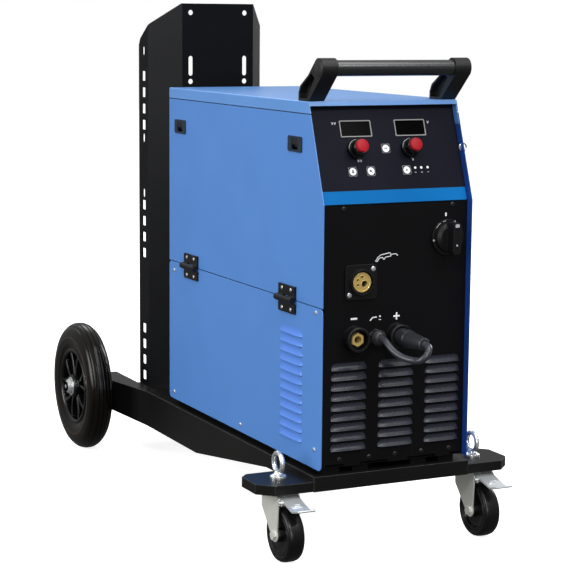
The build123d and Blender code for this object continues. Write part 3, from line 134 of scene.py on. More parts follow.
def add_prism(bm, face, outline, low_n, high_n):
    """A closed prism on a face, from an outline of (u, v) corners."""
    bottom = [bm.verts.new(face.at(u, v, low_n)) for u, v in outline]
    top = [bm.verts.new(face.at(u, v, high_n)) for u, v in outline]
    bm.faces.new(bottom)
    bm.faces.new(top)
    count = len(outline)
    for index in range(count):
        follower = (index + 1) % count
        bm.faces.new((bottom[index], bottom[follower], top[follower], top[index]))


def add_ring(bm, face, inner, outer, low_n, high_n):
    """A closed band on a face, between two outlines with as many corners each."""
    loops = []
    for outline, height in ((inner, low_n), (inner, high_n), (outer, high_n), (outer, low_n)):
        loops.append([bm.verts.new(face.at(u, v, height)) for u, v in outline])
    count = len(inner)
    for step in range(4):
        here, there = loops[step], loops[(step + 1) % 4]
        for index in range(count):
            follower = (index + 1) % count
            bm.faces.new((here[index], here[follower], there[follower], there[index]))


def arc(centre, radius, start, end, count):
    """Points along an arc, angles in degrees, in a face's own (u, v)."""
    points = []
    for step in range(count + 1):
        angle = math.radians(start + (end - start) * step / count)
        points.append((centre[0] + radius * math.cos(angle), centre[1] + radius * math.sin(angle)))
    return points


def disc(centre, radius, count=32):
    """A circle's corners."""
    return arc(centre, radius, 0, 360 * (count - 1) / count, count - 1)


def rounded(centre, width, height, corner, count=6):
    """A rectangle with round corners."""
    points = []
    for sign_u, sign_v, start in ((1, 1, 0), (-1, 1, 90), (-1, -1, 180), (1, -1, 270)):
        corner_centre = (
            centre[0] + sign_u * (width / 2 - corner),
            centre[1] + sign_v * (height / 2 - corner),
        )
        points += arc(corner_centre, corner, start, start + 90, count)
    return points


def bar(start, end, width):
    """A straight stroke's corners."""
    run = Vector(end) - Vector(start)
    side = Vector((-run.y, run.x)).normalized() * width / 2
    a, b = Vector(start), Vector(end)
    return [tuple(a + side), tuple(b + side), tuple(b - side), tuple(a - side)]


def add_lathe(bm, centre, axis, profile, segments, closed=True):
    """A profile of (radius, height) corners in millimetres, turned about an axis through the centre."""
    axis = Vector(axis).normalized()
    across = axis.orthogonal().normalized()
    other = axis.cross(across)
    rings = []
    for radius, height in profile:
        if radius < 1e-6:
            rings.append([bm.verts.new(Vector(centre) + axis * height * MM)])
            continue
        ring = []
        for step in range(segments):
            angle = 2 * math.pi * step / segments
            around = across * math.cos(angle) + other * math.sin(angle)
            ring.append(bm.verts.new(Vector(centre) + (axis * height + around * radius) * MM))
        rings.append(ring)
    pairs = list(zip(rings, rings[1:]))
    if closed:
        pairs.append((rings[-1], rings[0]))
    for here, there in pairs:
        for index in range(segments):
            follower = (index + 1) % segments
            if len(here) == 1:
                bm.faces.new((here[0], there[follower], there[index]))
            elif len(there) == 1:
                bm.faces.new((here[index], here[follower], there[0]))
            else:
                bm.faces.new((here[index], here[follower], there[follower], there[index]))


# ---------------------------------------------------------------- materials
MATERIALS = {}


def new_material(name):
    """A new material, with its node tree and its shader."""
    material = bpy.data.materials.new(name)
    material.use_nodes = True
    tree = material.node_tree
    shader = tree.nodes["Principled BSDF"]
    return material, tree, shader


def object_noise(tree, scale, detail, stretch=(1, 1, 1)):
    """Noise in the object's own metres."""
    place = tree.nodes.new("ShaderNodeTexCoord")
    mapping = tree.nodes.new("ShaderNodeMapping")
    mapping.inputs["Scale"].default_value = stretch
    noise = tree.nodes.new("ShaderNodeTexNoise")
    noise.inputs["Scale"].default_value = scale
    noise.inputs["Detail"].default_value = detail
    tree.links.new(place.outputs["Object"], mapping.inputs["Vector"])
    tree.links.new(mapping.outputs["Vector"], noise.inputs["Vector"])
    return noise.outputs["Fac"]


def between(tree, factor, low_value, high_value):
    """Maps a factor of 0.3 to 0.7 onto two values."""
    spread = tree.nodes.new("ShaderNodeMapRange")
    spread.inputs["From Min"].default_value = 0.3
    spread.inputs["From Max"].default_value = 0.7
    spread.inputs["To Min"].default_value = low_value
    spread.inputs["To Max"].default_value = high_value
    tree.links.new(factor, spread.inputs["Value"])
    return spread.outputs["Result"]


def mixed(tree, factor, first, second):
    """A colour between two colours, each a tuple or an output."""
    mix = tree.nodes.new("ShaderNodeMix")
    mix.data_type = "RGBA"
    tree.links.new(factor, mix.inputs["Factor"])
    for socket, colour in ((mix.inputs["A"], first), (mix.inputs["B"], second)):
        if isinstance(colour, tuple):
            socket.default_value = (*colour, 1)
        else:
            tree.links.new(colour, socket)
    return mix.outputs["Result"]


def surface(name, colour, variation, rough, metallic=0.0, grain=600.0, bump=0.05, specular=0.5,
            edge=None, radius=0.6, stretch=(1, 1, 1)):
    """Adds a paint, plastic or metal to MATERIALS.

    It has two close colours, uneven gloss, fine grain and rounded edges, radius in millimetres. The edge
    colour is a painted highlight that lightens those edges.
    """
    material, tree, shader = new_material(name)
    shader.inputs["Metallic"].default_value = metallic
    shader.inputs["Specular IOR Level"].default_value = specular
    broad = object_noise(tree, 9.0, 3.0)
    shade = tuple(min(1.0, channel * (1 + variation)) for channel in colour)
    dark = tuple(channel * (1 - variation) for channel in colour)
    tint = mixed(tree, between(tree, broad, 0, 1), dark, shade)
    fine = object_noise(tree, grain, 2.0, stretch)
    soft_edge = tree.nodes.new("ShaderNodeBevel")
    soft_edge.samples = 4
    soft_edge.inputs["Radius"].default_value = radius * MM
    # The edge colour is a painted highlight, laid along the rounded edges where light would catch them.
    if edge is not None:
        geometry = tree.nodes.new("ShaderNodeNewGeometry")
        turned = tree.nodes.new("ShaderNodeVectorMath")
        turned.operation = "DOT_PRODUCT"
        tree.links.new(geometry.outputs["Normal"], turned.inputs[0])
        tree.links.new(soft_edge.outputs["Normal"], turned.inputs[1])
        edge_highlight = tree.nodes.new("ShaderNodeMapRange")
        edge_highlight.inputs["From Min"].default_value = 0.995
        edge_highlight.inputs["From Max"].default_value = 0.86
        edge_highlight.inputs["To Max"].default_value = 0.75
        tree.links.new(turned.outputs["Value"], edge_highlight.inputs["Value"])
        tint = mixed(tree, edge_highlight.outputs["Result"], tint, edge)
    tree.links.new(tint, shader.inputs["Base Color"])
    tree.links.new(between(tree, fine, rough * 0.85, min(1.0, rough * 1.15)), shader.inputs["Roughness"])
    relief = tree.nodes.new("ShaderNodeBump")
    relief.inputs["Strength"].default_value = bump
    relief.inputs["Distance"].default_value = 0.2 * MM
    tree.links.new(fine, relief.inputs["Height"])
    tree.links.new(soft_edge.outputs["Normal"], relief.inputs["Normal"])
    tree.links.new(relief.outputs["Normal"], shader.inputs["Normal"])
    MATERIALS[name] = material
    return material


BLUE = (0.083, 0.240, 0.620)

surface("casing_blue", BLUE, 0.03, 0.36, grain=900, bump=0.03, edge=(0.20, 0.38, 0.74))
# The roof's blue is a lighter copy of the casing blue: painted light, for the light falling on the roof from
# above.
surface("roof_blue_lit", (0.115, 0.29, 0.66), 0.03, 0.30, grain=900, bump=0.03, edge=(0.3, 0.5, 0.8))
# The side louvres' blue is a brighter, more saturated copy of the casing blue: painted light, for the light
# the hoods catch.
surface("louvre_blue_lit", (0.088, 0.235, 0.72), 0.03, 0.34, grain=900, bump=0.03)
surface("shadow", (0.003, 0.003, 0.005), 0.1, 0.8, bump=0.0, specular=0.0)
surface("chassis_black", (0.0075, 0.0072, 0.0070), 0.12, 0.34, grain=700, bump=0.08, specular=0.14,
        edge=(0.14, 0.14, 0.14), radius=1.4)
surface("column_black", (0.0055, 0.0058, 0.0070), 0.12, 0.36, grain=700, bump=0.08, specular=0.06,
        edge=(0.05, 0.05, 0.055), radius=1.0)
surface("panel_dark", (0.0035, 0.0035, 0.0042), 0.1, 0.42, grain=900, bump=0.06, specular=0.12)
# The front louvres' black is a lighter copy of the panel's black: painted light, for the light the hoods
# catch.
surface("louvre_black_lit", (0.0115, 0.0135, 0.024), 0.1, 0.28, grain=900, bump=0.04, specular=0.50,
        edge=(0.10, 0.11, 0.15))
surface("zinc", (0.76, 0.78, 0.79), 0.08, 0.26, metallic=0.80, grain=300, bump=0.05,
        edge=(0.95, 0.95, 0.95), radius=0.8)
surface("fork_zinc", (0.76, 0.77, 0.71), 0.06, 0.40, metallic=0.40, grain=300, bump=0.05,
        edge=(0.9, 0.9, 0.88), radius=0.8)
surface("caster_rubber", (0.0045, 0.0045, 0.0045), 0.15, 0.30, grain=500, bump=0.10, specular=0.35)
surface("tyre", (0.0030, 0.0021, 0.0015), 0.18, 0.20, grain=400, bump=0.06, specular=0.30)
surface("tyre_brown", (0.030, 0.016, 0.010), 0.18, 0.32, grain=400, bump=0.10, specular=0.3)
surface("pedal_zinc", (0.80, 0.83, 0.85), 0.05, 0.22, metallic=0.65, grain=300, bump=0.05,
        edge=(0.97, 0.97, 0.97), radius=0.8)
surface("bezel_slate", (0.012, 0.022, 0.038), 0.08, 0.36, bump=0.05, specular=0.3, edge=(0.06, 0.09, 0.13))
surface("hub_plastic", (0.003, 0.003, 0.0032), 0.1, 0.18, grain=900, bump=0.03, specular=0.5, radius=1.5)
surface("black_plastic", (0.0050, 0.0050, 0.0055), 0.1, 0.38, grain=900, bump=0.10, specular=0.25,
        edge=(0.05, 0.05, 0.055), radius=1.0)
surface("handle_plastic", (0.0075, 0.0078, 0.0080), 0.1, 0.42, grain=900, bump=0.10, specular=0.35,
        edge=(0.05, 0.05, 0.055), radius=1.2)
# The end caps' colour is a lighter copy of the handle plastic: painted light, for the light on the end
# faces.
surface("handle_cap_lit", (0.014, 0.0145, 0.015), 0.1, 0.36, grain=900, bump=0.08, specular=0.4,
        edge=(0.06, 0.06, 0.065))
surface("grip_plastic", (0.0100, 0.0110, 0.0120), 0.05, 0.22, grain=900, bump=0.0, specular=1.0)
surface("black_screw", (0.012, 0.012, 0.013), 0.1, 0.30, bump=0.04, specular=0.6, edge=(0.10, 0.10, 0.11))
surface("white_print", (0.92, 0.94, 0.97), 0.02, 0.5, bump=0.02)
surface("grey_print_and_highlight", (0.42, 0.43, 0.45), 0.02, 0.5, bump=0.02)
surface("dark_print", (0.02, 0.022, 0.028), 0.05, 0.5, bump=0.02)
surface("window", (0.0015, 0.0015, 0.0015), 0.1, 0.12, bump=0.0, specular=0.02)
surface("window_frame", (0.27, 0.27, 0.27), 0.05, 0.4, bump=0.03)
surface("key", (0.012, 0.014, 0.020), 0.06, 0.38, bump=0.04, specular=0.2, edge=(0.10, 0.12, 0.16))
surface("knob_black", (0.0025, 0.0025, 0.0025), 0.1, 0.18, bump=0.03, specular=0.5)
surface("cap_red", (0.36, 0.004, 0.012), 0.06, 0.45, bump=0.03, specular=0.25, edge=(0.6, 0.05, 0.06))
surface("brass", (0.86, 0.62, 0.20), 0.08, 0.22, metallic=0.62, grain=500, bump=0.04,
        edge=(0.98, 0.86, 0.55), radius=0.5)
surface("gland_grey", (0.020, 0.020, 0.022), 0.1, 0.34, bump=0.08, edge=(0.13, 0.13, 0.14))
surface("cable_rubber", (0.034, 0.035, 0.046), 0.1, 0.32, grain=900, bump=0.05)
surface("plug_rubber", (0.016, 0.017, 0.021), 0.1, 0.42, grain=800, bump=0.08, edge=(0.12, 0.12, 0.13),
        radius=1.2)
surface("inner_zinc", (0.62, 0.63, 0.64), 0.08, 0.34, metallic=0.9, grain=300, bump=0.05)
surface("inner_plastic", (0.03, 0.03, 0.033), 0.1, 0.45, bump=0.06)
surface("copper_wire", (0.80, 0.36, 0.20), 0.10, 0.28, metallic=1.0, grain=1500, bump=0.25,
        stretch=(1, 0.05, 0.05))
surface("aluminium", (0.66, 0.67, 0.68), 0.06, 0.40, metallic=0.9, grain=400, bump=0.08)
surface("roller_steel", (0.50, 0.50, 0.51), 0.06, 0.25, metallic=1.0, grain=600, bump=0.04)


def overlay_material():
    """The printed membrane: charcoal, with a bright blue band along its lower edge."""
    material, tree, shader = new_material("overlay_print")
    place = tree.nodes.new("ShaderNodeTexCoord")
    split = tree.nodes.new("ShaderNodeSeparateXYZ")
    tree.links.new(place.outputs["Object"], split.inputs["Vector"])
    band = tree.nodes.new("ShaderNodeMath")
    band.operation = "LESS_THAN"
    band.inputs[1].default_value = SLOPE_FACE.at(0, BAND_TOP, OVERLAY).z
    tree.links.new(split.outputs["Z"], band.inputs[0])
    grain = object_noise(tree, 700, 2.0)
    patches = between(tree, object_noise(tree, 6, 2.0), 0, 1)
    charcoal = mixed(tree, patches, (0.006, 0.006, 0.012), (0.009, 0.009, 0.017))
    streaks = between(tree, object_noise(tree, 7, 2.0), 0, 1)
    blue = mixed(tree, streaks, (0.002, 0.125, 0.38), (0.004, 0.145, 0.43))
    tree.links.new(mixed(tree, band.outputs["Value"], charcoal, blue), shader.inputs["Base Color"])
    tree.links.new(between(tree, grain, 0.36, 0.46), shader.inputs["Roughness"])
    shader.inputs["Specular IOR Level"].default_value = 0.06
    relief = tree.nodes.new("ShaderNodeBump")
    relief.inputs["Strength"].default_value = 0.05
    relief.inputs["Distance"].default_value = 0.1 * MM
    tree.links.new(grain, relief.inputs["Height"])
    tree.links.new(relief.outputs["Normal"], shader.inputs["Normal"])
    return material


MATERIALS["overlay"] = overlay_material()


def shade_inner_faces(material):
    """Paints shade on every face that doesn't face outwards, to the right: a deep blue for the shade in the
    recess.
    """
    tree = material.node_tree
    shader = tree.nodes["Principled BSDF"]
    geometry = tree.nodes.new("ShaderNodeNewGeometry")
    split = tree.nodes.new("ShaderNodeSeparateXYZ")
    inner = tree.nodes.new("ShaderNodeMath")
    inner.operation = "LESS_THAN"
    inner.inputs[1].default_value = 0.5
    tree.links.new(geometry.outputs["Normal"], split.inputs["Vector"])
    tree.links.new(split.outputs["X"], inner.inputs[0])
    painted = shader.inputs["Base Color"].links[0].from_socket
    # Painted shade: this deep blue stands for the shade on the panel's inner face beside the recessed front.
    inner_shade = (0.012, 0.060, 0.30)
    tree.links.new(mixed(tree, inner.outputs["Value"], painted, inner_shade), shader.inputs["Base Color"])


shade_inner_faces(surface("right_blue_shaded", BLUE, 0.03, 0.36, grain=900, bump=0.03))


# ---------------------------------------------------------------- camera, lights and floor
def add_camera():
    """The view from the left front, from a little above the machine."""
    place = (-1.5612, -3.3121, 0.9599)
    yaw = math.radians(25.70)
    pitch = math.radians(8.35)
    roll = math.radians(0.46)
    level = Vector((math.sin(yaw), math.cos(yaw), 0))
    forward = level * math.cos(pitch) + Vector((0, 0, -math.sin(pitch)))
    right = Vector((math.cos(yaw), -math.sin(yaw), 0))
    up = right.cross(forward)
    right, up = (
        right * math.cos(roll) + up * math.sin(roll),
        up * math.cos(roll) - right * math.sin(roll),
    )
    data = bpy.data.cameras.new("camera")
    data.sensor_width = 36
    data.lens = 115.6
    data.clip_end = 100
    camera = bpy.data.objects.new("camera", data)
    rotation = Matrix((right, up, -forward)).transposed().to_4x4()
    camera.matrix_world = Matrix.Translation(place) @ rotation
    bpy.context.scene.collection.objects.link(camera)
    bpy.context.scene.camera = camera


def add_softbox(name, place, target, size, watts):
    """A large soft light that faces a point."""
    data = bpy.data.lights.new(name, "AREA")
    data.shape = "RECTANGLE"
    data.size, data.size_y = size
    data.energy = watts
    light = bpy.data.objects.new(name, data)
    light.location = place
    light.rotation_euler = (Vector(target) - Vector(place)).to_track_quat("-Z", "Y").to_euler()
    bpy.context.scene.collection.objects.link(light)


def add_room():
    """A white backdrop; what lights the object fades from a pale ceiling to a dim floor line."""
    world = bpy.data.worlds.new("studio")
    bpy.context.scene.world = world
    world.use_nodes = True
    tree = world.node_tree
    background = tree.nodes["Background"]
    place = tree.nodes.new("ShaderNodeTexCoord")
    split = tree.nodes.new("ShaderNodeSeparateXYZ")
    ramp = tree.nodes.new("ShaderNodeMapRange")
    ramp.inputs["From Min"].default_value = -0.35
    ramp.inputs["From Max"].default_value = 0.75
    ramp.inputs["To Min"].default_value = 0.10
    ramp.inputs["To Max"].default_value = 0.55
    path = tree.nodes.new("ShaderNodeLightPath")
    choose = tree.nodes.new("ShaderNodeMix")
    choose.inputs["B"].default_value = 1.0
    tree.links.new(place.outputs["Generated"], split.inputs["Vector"])
    tree.links.new(split.outputs["Z"], ramp.inputs["Value"])
    tree.links.new(path.outputs["Is Camera Ray"], choose.inputs["Factor"])
    tree.links.new(ramp.outputs["Result"], choose.inputs["A"])
    tree.links.new(choose.outputs["Result"], background.inputs["Strength"])
    background.inputs["Color"].default_value = (1.0, 1.0, 1.0, 1)


def add_studio():
    """A pale floor, a pale room and soft boxes."""
    bm = bmesh.new()
    reach = 14
    for x, y in ((-reach, -reach), (reach, -reach), (reach, reach), (-reach, reach)):
        bm.verts.new((x, y, 0))
    bm.faces.new(bm.verts)
    mesh = bpy.data.meshes.new("floor")
    bm.to_mesh(mesh)
    bm.free()
    floor = bpy.data.objects.new("floor", mesh)
    bpy.context.scene.collection.objects.link(floor)
    material, _, shader = new_material("floor")
    shader.inputs["Base Color"].default_value = (0.9, 0.9, 0.9, 1)
    shader.inputs["Roughness"].default_value = 0.9
    shader.inputs["Specular IOR Level"].default_value = 0.0
    shader.inputs["Emission Color"].default_value = (1.0, 1.0, 1.0, 1)
    shader.inputs["Emission Strength"].default_value = 0.80
    mesh.materials.append(material)
    floor.visible_diffuse = False
    floor.visible_glossy = False
    add_room()
    add_softbox("overhead", (0.2, -1.2, 3.4), (0, -0.1, 0.5), (2.6, 2.2), 55)
    add_softbox("left_key", (-4.2, 0.2, 1.5), (0, 0, 0.5), (2.6, 2.4), 112)
    add_softbox("front_high", (0.9, -3.4, 3.0), (0, -0.5, 0.3), (1.8, 0.9), 34)
    add_softbox("front_spark", (-1.9, -3.3, 3.0), (0, -0.4, 0.5), (0.45, 0.45), 46)
    add_softbox("front_fill", (-1.6, -4.6, 0.9), (0, -0.4, 0.5), (1.6, 1.2), 34)
    add_softbox("right_rim", (3.6, 1.4, 1.6), (0, 0.2, 0.5), (1.2, 2.0), 55)
    add_softbox("back_fill", (0.6, 3.8, 3.4), (0, 0.2, 0.5), (2.4, 1.8), 35)
    add_softbox("tyre_strip", (-1.9, -3.9, 1.9), (-0.25, 0.45, 0.14), (0.30, 1.5), 9)


# ---------------------------------------------------------------- the jumper cable
def add_cable():
    """The short cable from its gland down in a bight and back into the plug."""
    gland_x = -37.0
    plus_x = 6.0
    height = 397.0
    front = FRONT / MM
    points = [
        (gland_x, front - 9, height),
        (gland_x, front - 22, height),
        (gland_x + 1, front - 37, height - 10),
        (gland_x + 6, front - 54, height - 20),
        (gland_x + 14, front - 71, height - 26),
        (gland_x + 22, front - 88, height - 27),
        (plus_x - 18, front - 106, height - 25),
        (plus_x - 7, front - 112, height - 12),
        (plus_x, front - 102, height),
        (plus_x, front - 86, height),
    ]
    curve = bpy.data.curves.new("jumper_cable_sheath", "CURVE")
    curve.dimensions = "3D"
    curve.bevel_depth = 6 * MM
    curve.bevel_resolution = 8
    curve.resolution_u = 12
    curve.use_fill_caps = True
    spline = curve.splines.new("NURBS")
    spline.points.add(len(points) - 1)
    for target, point in zip(spline.points, points):
        target.co = (*(Vector(point) * MM), 1)
    spline.order_u = 3
    spline.use_endpoint_u = True
    cable = bpy.data.objects.new("jumper_cable_sheath", curve)
    bpy.context.scene.collection.objects.link(cable)
    curve.materials.append(MATERIALS["cable_rubber"])
    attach(cable, "frame")
    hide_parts("jumper_cable")


# ---------------------------------------------------------------- sheet panels with louvres
def add_louvre(bm, face, centre, width, height, depth, top_width):
    """A pressed hood, open below: it swells towards its lower lip and has rounded shoulders."""
    columns, rows = 24, 8
    grid = []
    for row in range(rows + 1):
        v = row / rows
        half = width / 2 + (top_width - width) / 2 * v**2.2
        line = []
        for column in range(columns + 1):
            across = math.sin((2 * column / columns - 1) * math.pi / 2)
            shoulder = max(0.0, 1 - abs(across) ** 6) ** 0.5
            rise = depth * shoulder * (1 - v) ** 2.3
            point = face.at(centre[0] + across * half, centre[1] + v * height, rise + 0.05)
            line.append(bm.verts.new(point))
        grid.append(line)
    lip = []
    inside = []
    for column in range(columns + 1):
        across = math.sin((2 * column / columns - 1) * math.pi / 2)
        shoulder = max(0.0, 1 - abs(across) ** 6) ** 0.5
        reach = centre[0] + across * (width / 2 - 0.6)
        lip.append(bm.verts.new(face.at(reach, centre[1] + 0.2, max(0.03, (depth - 0.9) * shoulder))))
        inside.append(bm.verts.new(face.at(reach, centre[1] + 2.2, 0.03)))
    for here, there in [*zip(grid, grid[1:]), (lip, grid[0]), (inside, lip)]:
        for column in range(columns):
            bm.faces.new((here[column], here[column + 1], there[column + 1], there[column]))


def add_slot_shadows(name, face, places, width, height):
    """Thin dark plates of painted shadow, for the shade in the openings under the hoods."""
    bm = bmesh.new()
    for u, v in places:
        add_prism(bm, face, rounded((u, v), width, height, height * 0.45, 4), 0.01, 0.12)
    finish_mesh(name, bm, MATERIALS["shadow"], "frame")


def add_front_panel():
    """The black front sheet: three columns of louvres and a notched lower edge."""
    bm = bmesh.new()
    bottom, top = low("front_panel").z / MM, high("front_panel").z / MM
    half = high("front_panel").x / MM
    notches = ((-134, -96), (-64, -8), (34, 92), (122, 140))
    notch_depth = 5
    columns = (-89.0, 6.5, 102.0)
    lowest, pitch, rows = 196.0, 18.2, 9
    outline = [(-half, top), (-half, bottom)]
    for left, right in notches:
        notch_top = bottom + notch_depth
        outline += [(left, bottom), (left, notch_top), (right, notch_top), (right, bottom)]
    outline += [(half, bottom), (half, top)]
    add_prism(bm, FRONT_FACE, outline, -SHEET / MM, 0)
    finish_mesh("front_sheet", bm, MATERIALS["panel_dark"], "frame",
                replaces=("front_panel",))
    places = [(column, lowest + pitch * row) for column in columns for row in range(rows)]
    bm = bmesh.new()
    for place in places:
        add_louvre(bm, FRONT_FACE, place, 72, 12.6, 5.6, 58)
    finish_mesh("front_louvres", bm, MATERIALS["louvre_black_lit"], "frame", 60)
    add_slot_shadows("front_slot_shadows", FRONT_FACE, [(u, v - 0.6) for u, v in places], 70, 3.0)


def add_left_panel():
    """The lower left sheet with its rounded corners, and one column of louvres."""
    bm = bmesh.new()
    bottom, top = low("left_lower_panel").z / MM, high("left_lower_panel").z / MM
    length = (high("left_lower_panel").y - low("left_lower_panel").y) / MM
    centre = (length / 2, (bottom + top) / 2)
    column, lowest, pitch, rows = 122.5, 201.6, 17.4, 12
    add_prism(bm, LEFT_FACE, rounded(centre, length, top - bottom, 10), -SHEET / MM, 0)
    finish_mesh("left_sheet", bm, MATERIALS["casing_blue"], "frame",
                replaces=("left_lower_panel",))
    bm = bmesh.new()
    places = [(column, lowest + pitch * row) for row in range(rows)]
    for place in places:
        add_louvre(bm, LEFT_FACE, place, 90, 12.5, 4.6, 84)
    finish_mesh("left_louvres", bm, MATERIALS["louvre_blue_lit"], "frame", 60)
    add_slot_shadows("left_slot_shadows", LEFT_FACE, [(u, v - 0.7) for u, v in places], 86, 2.6)


# ---------------------------------------------------------------- wheels
TREAD_HALF = 23.5
TYRE_FLANK = [(84, 22), (92, 24), (95, 25.5), (98, 25.2), (106, 27.6), (109, 27.2), (118, 27.0), (124, 25.2)]
HUB_RING = [(10.06, -27.4), (24, -27.4), (26, -24), (28, 8), (25, 25), (22, 27.4), (10.06, 27.4)]
SPOKES = 5


def outwards(hand):
    """The direction away from the machine on this side of it."""
    return Vector((-1 if hand == "left" else 1, 0, 0))


def add_tyre(hand):
    """A ribbed tyre with a thin brown line round its sidewall."""
    body = f"wheel_{hand}"
    centre = middle(f"rear_tyre_{hand}")
    axis = outwards(hand)
    steps = 60
    crown = []
    for step in range(steps + 1):
        across = TREAD_HALF * (2 * step / steps - 1)
        bulge = 140 - 12.5 * (abs(across) / TREAD_HALF) ** 2.4
        groove = 1.9 * max(0.0, math.cos(across / TREAD_HALF * math.pi * 5.0)) ** 6
        if step in (0, steps):
            groove = 0
        crown.append((bulge - groove, across))
    profile = [(radius, -height) for radius, height in TYRE_FLANK] + crown + TYRE_FLANK[::-1]
    bm = bmesh.new()
    add_lathe(bm, centre, axis, profile, segments=160)
    finish_mesh(f"tyre_ribbed_{hand}", bm, MATERIALS["tyre"], body, 50,
                replaces=(f"rear_tyre_{hand}",))
    bm = bmesh.new()
    line = [(105.6, 27.0), (106.2, 28.0), (108.8, 28.0), (109.4, 27.0)]
    add_lathe(bm, centre, axis, line, segments=160)
    finish_mesh(f"tyre_line_{hand}", bm, MATERIALS["tyre_brown"], body, 50)


def spoke_outline(turn, inner_angle, outer_angle):
    """One curved arm, waisted in its middle, whose angle swings on the way out. Angles in degrees."""
    steps = 12
    points = []
    for step in range(steps + 1):
        along = step / steps
        reach = 24 + 52 * along
        angle = math.radians(turn + inner_angle + (outer_angle - inner_angle) * along**1.5)
        points.append(Vector((reach * math.cos(angle), reach * math.sin(angle))))
    one_side = []
    other_side = []
    for index, point in enumerate(points):
        run = points[min(steps, index + 1)] - points[max(0, index - 1)]
        across = Vector((-run.y, run.x)).normalized()
        half = 3.0 + 1.5 * abs(index - steps / 2) / (steps / 2)
        one_side.append(tuple(point + across * half))
        other_side.append(tuple(point - across * half))
    return one_side + other_side[::-1]


def add_hub(hand):
    """A hub whose five spokes have two curved arms each, with a bright bearing ring."""
    body = f"wheel_{hand}"
    centre = middle(f"rear_tyre_{hand}")
    hub_mid = middle(f"rear_hub_{hand}")
    axis = outwards(hand)
    bm = bmesh.new()
    rim = [(76, -22), (84, -23.5), (84, 23.5), (79, 24.5), (75.5, 22), (73, 8), (73, -8)]
    add_lathe(bm, centre, axis, rim, segments=128)
    add_lathe(bm, centre, axis, [(20, -5), (75, -7), (75, 1), (20, 5)], segments=128)
    add_lathe(bm, hub_mid, axis, HUB_RING, segments=96)
    wheel_face = Face(centre, (0, 1, 0), (0, 0, 1), axis)
    for spoke in range(SPOKES):
        turn = 360 * spoke / SPOKES + 18
        for inner_angle, outer_angle in ((-9, -20), (9, 20)):
            add_prism(bm, wheel_face, spoke_outline(turn, inner_angle, outer_angle), -2, 19)
    hub = finish_mesh(f"hub_spoked_{hand}", bm, MATERIALS["hub_plastic"], body,
                      replaces=(f"rear_hub_{hand}",))
    bevel(hub, 1.2)
    bm = bmesh.new()
    ring = [(11, 27.5), (20.5, 27.5), (20.5, 28.6), (18, 29.2), (13, 28.4), (11, 28.4)]
    add_lathe(bm, hub_mid, axis, ring, segments=64)
    finish_mesh(f"bearing_ring_{hand}", bm, MATERIALS["zinc"], body)


def add_axle_cap(hand):
    """A dark disc of painted shadow for the recessed face of the cap nut, with a bright bolt in it."""
    axis = outwards(hand)
    end = low("axle_stubs").x if hand == "left" else high("axle_stubs").x
    hub_mid = middle(f"rear_hub_{hand}")
    centre = Vector((end, hub_mid.y, hub_mid.z))
    bm = bmesh.new()
    profile = [(0, -0.4), (9.8, -1.0), (10.6, -0.9), (10.4, -0.4), (6.4, 0.12), (0, 0.12)]
    add_lathe(bm, centre, axis, profile, segments=48, closed=False)
    finish_mesh(f"axle_recess_shadow_{hand}", bm, MATERIALS["shadow"], "frame")
    bm = bmesh.new()
    face = Face(centre, (0, 1, 0), (0, 0, 1), axis)
    add_prism(bm, face, disc((0, 0), 4.6, 6), 0.1, 1.2)
    bevel(finish_mesh(f"axle_bolt_{hand}", bm, MATERIALS["zinc"], "frame"), 0.4)


def add_pedal_pads(hand):
    """The embossed pad and the rolled toe of a brake pedal."""
    body = f"brake_{hand}"
    x = middle(f"brake_pedal_{hand}").x
    slope = Vector((0, 36.0, 10.2)).normalized()
    across = Vector((1, 0, 0))
    face = Face((x, FRONT - 26 * MM, 107.8 * MM), across, slope, across.cross(slope))
    bm = bmesh.new()
    add_prism(bm, face, rounded((0, 15.0), 22, 13, 4), -0.2, 1.3)
    add_ring(bm, face, rounded((0, 15.0), 10, 4, 1.9), rounded((0, 15.0), 14, 7.5, 3), 1.2, 2.2)
    bevel(finish_mesh(f"pedal_pad_{hand}", bm, MATERIALS["pedal_zinc"], body), 0.5)
    bm = bmesh.new()
    end = Vector((x - 17.5 * MM, FRONT - 48.3 * MM, 111.6 * MM))
    toe = [(0, 0), (1.6, 0), (2.1, 0.6), (2.1, 34.4), (1.6, 35), (0, 35)]
    add_lathe(bm, end, across, toe, segments=20, closed=False)
    finish_mesh(f"pedal_toe_{hand}", bm, MATERIALS["pedal_zinc"], body)


def add_caster_wheel(hand):
    """A solid black wheel with stepped rings on its sides and a flat tread."""
    centre = middle(f"caster_wheel_{hand}")
    bm = bmesh.new()
    flank = [(5.06, 18.8), (12.5, 18.8), (13, 18), (13, 9.5), (15, 9), (29, 9), (31, 9.6), (33.5, 14),
             (36, 14.4), (37, 13.4), (38.5, 13.4), (40, 15.4), (44, 16), (46.5, 15.2), (48.6, 12.4),
             (49.7, 8)]
    half = [*flank, (50, 4.0), (50, 0.0)]
    profile = half + [(radius, -height) for radius, height in reversed(half[:-1])]
    add_lathe(bm, centre, outwards(hand), profile, segments=112)
    finish_mesh(f"caster_tyre_{hand}", bm, MATERIALS["caster_rubber"], f"caster_wheel_{hand}",
                40, replaces=(f"caster_wheel_{hand}",))


# ---------------------------------------------------------------- control panel
KNOBS = {"voltage_knob": (-64.0, 102.0), "wire_speed_knob": (44.0, 102.0)}
BUTTONS = {
    "mode_button": (-4.3, 102.5),
    "gas_test_button": (-76.8, 62.0),
    "wire_inch_button": (-40.6, 62.0),
    "select_button": (31.7, 62.0),
}
DISPLAYS = ((-59.0, 140.0), (51.0, 140.0))
PRINT_BASE = 1.75
PRINT_TOP = 1.95


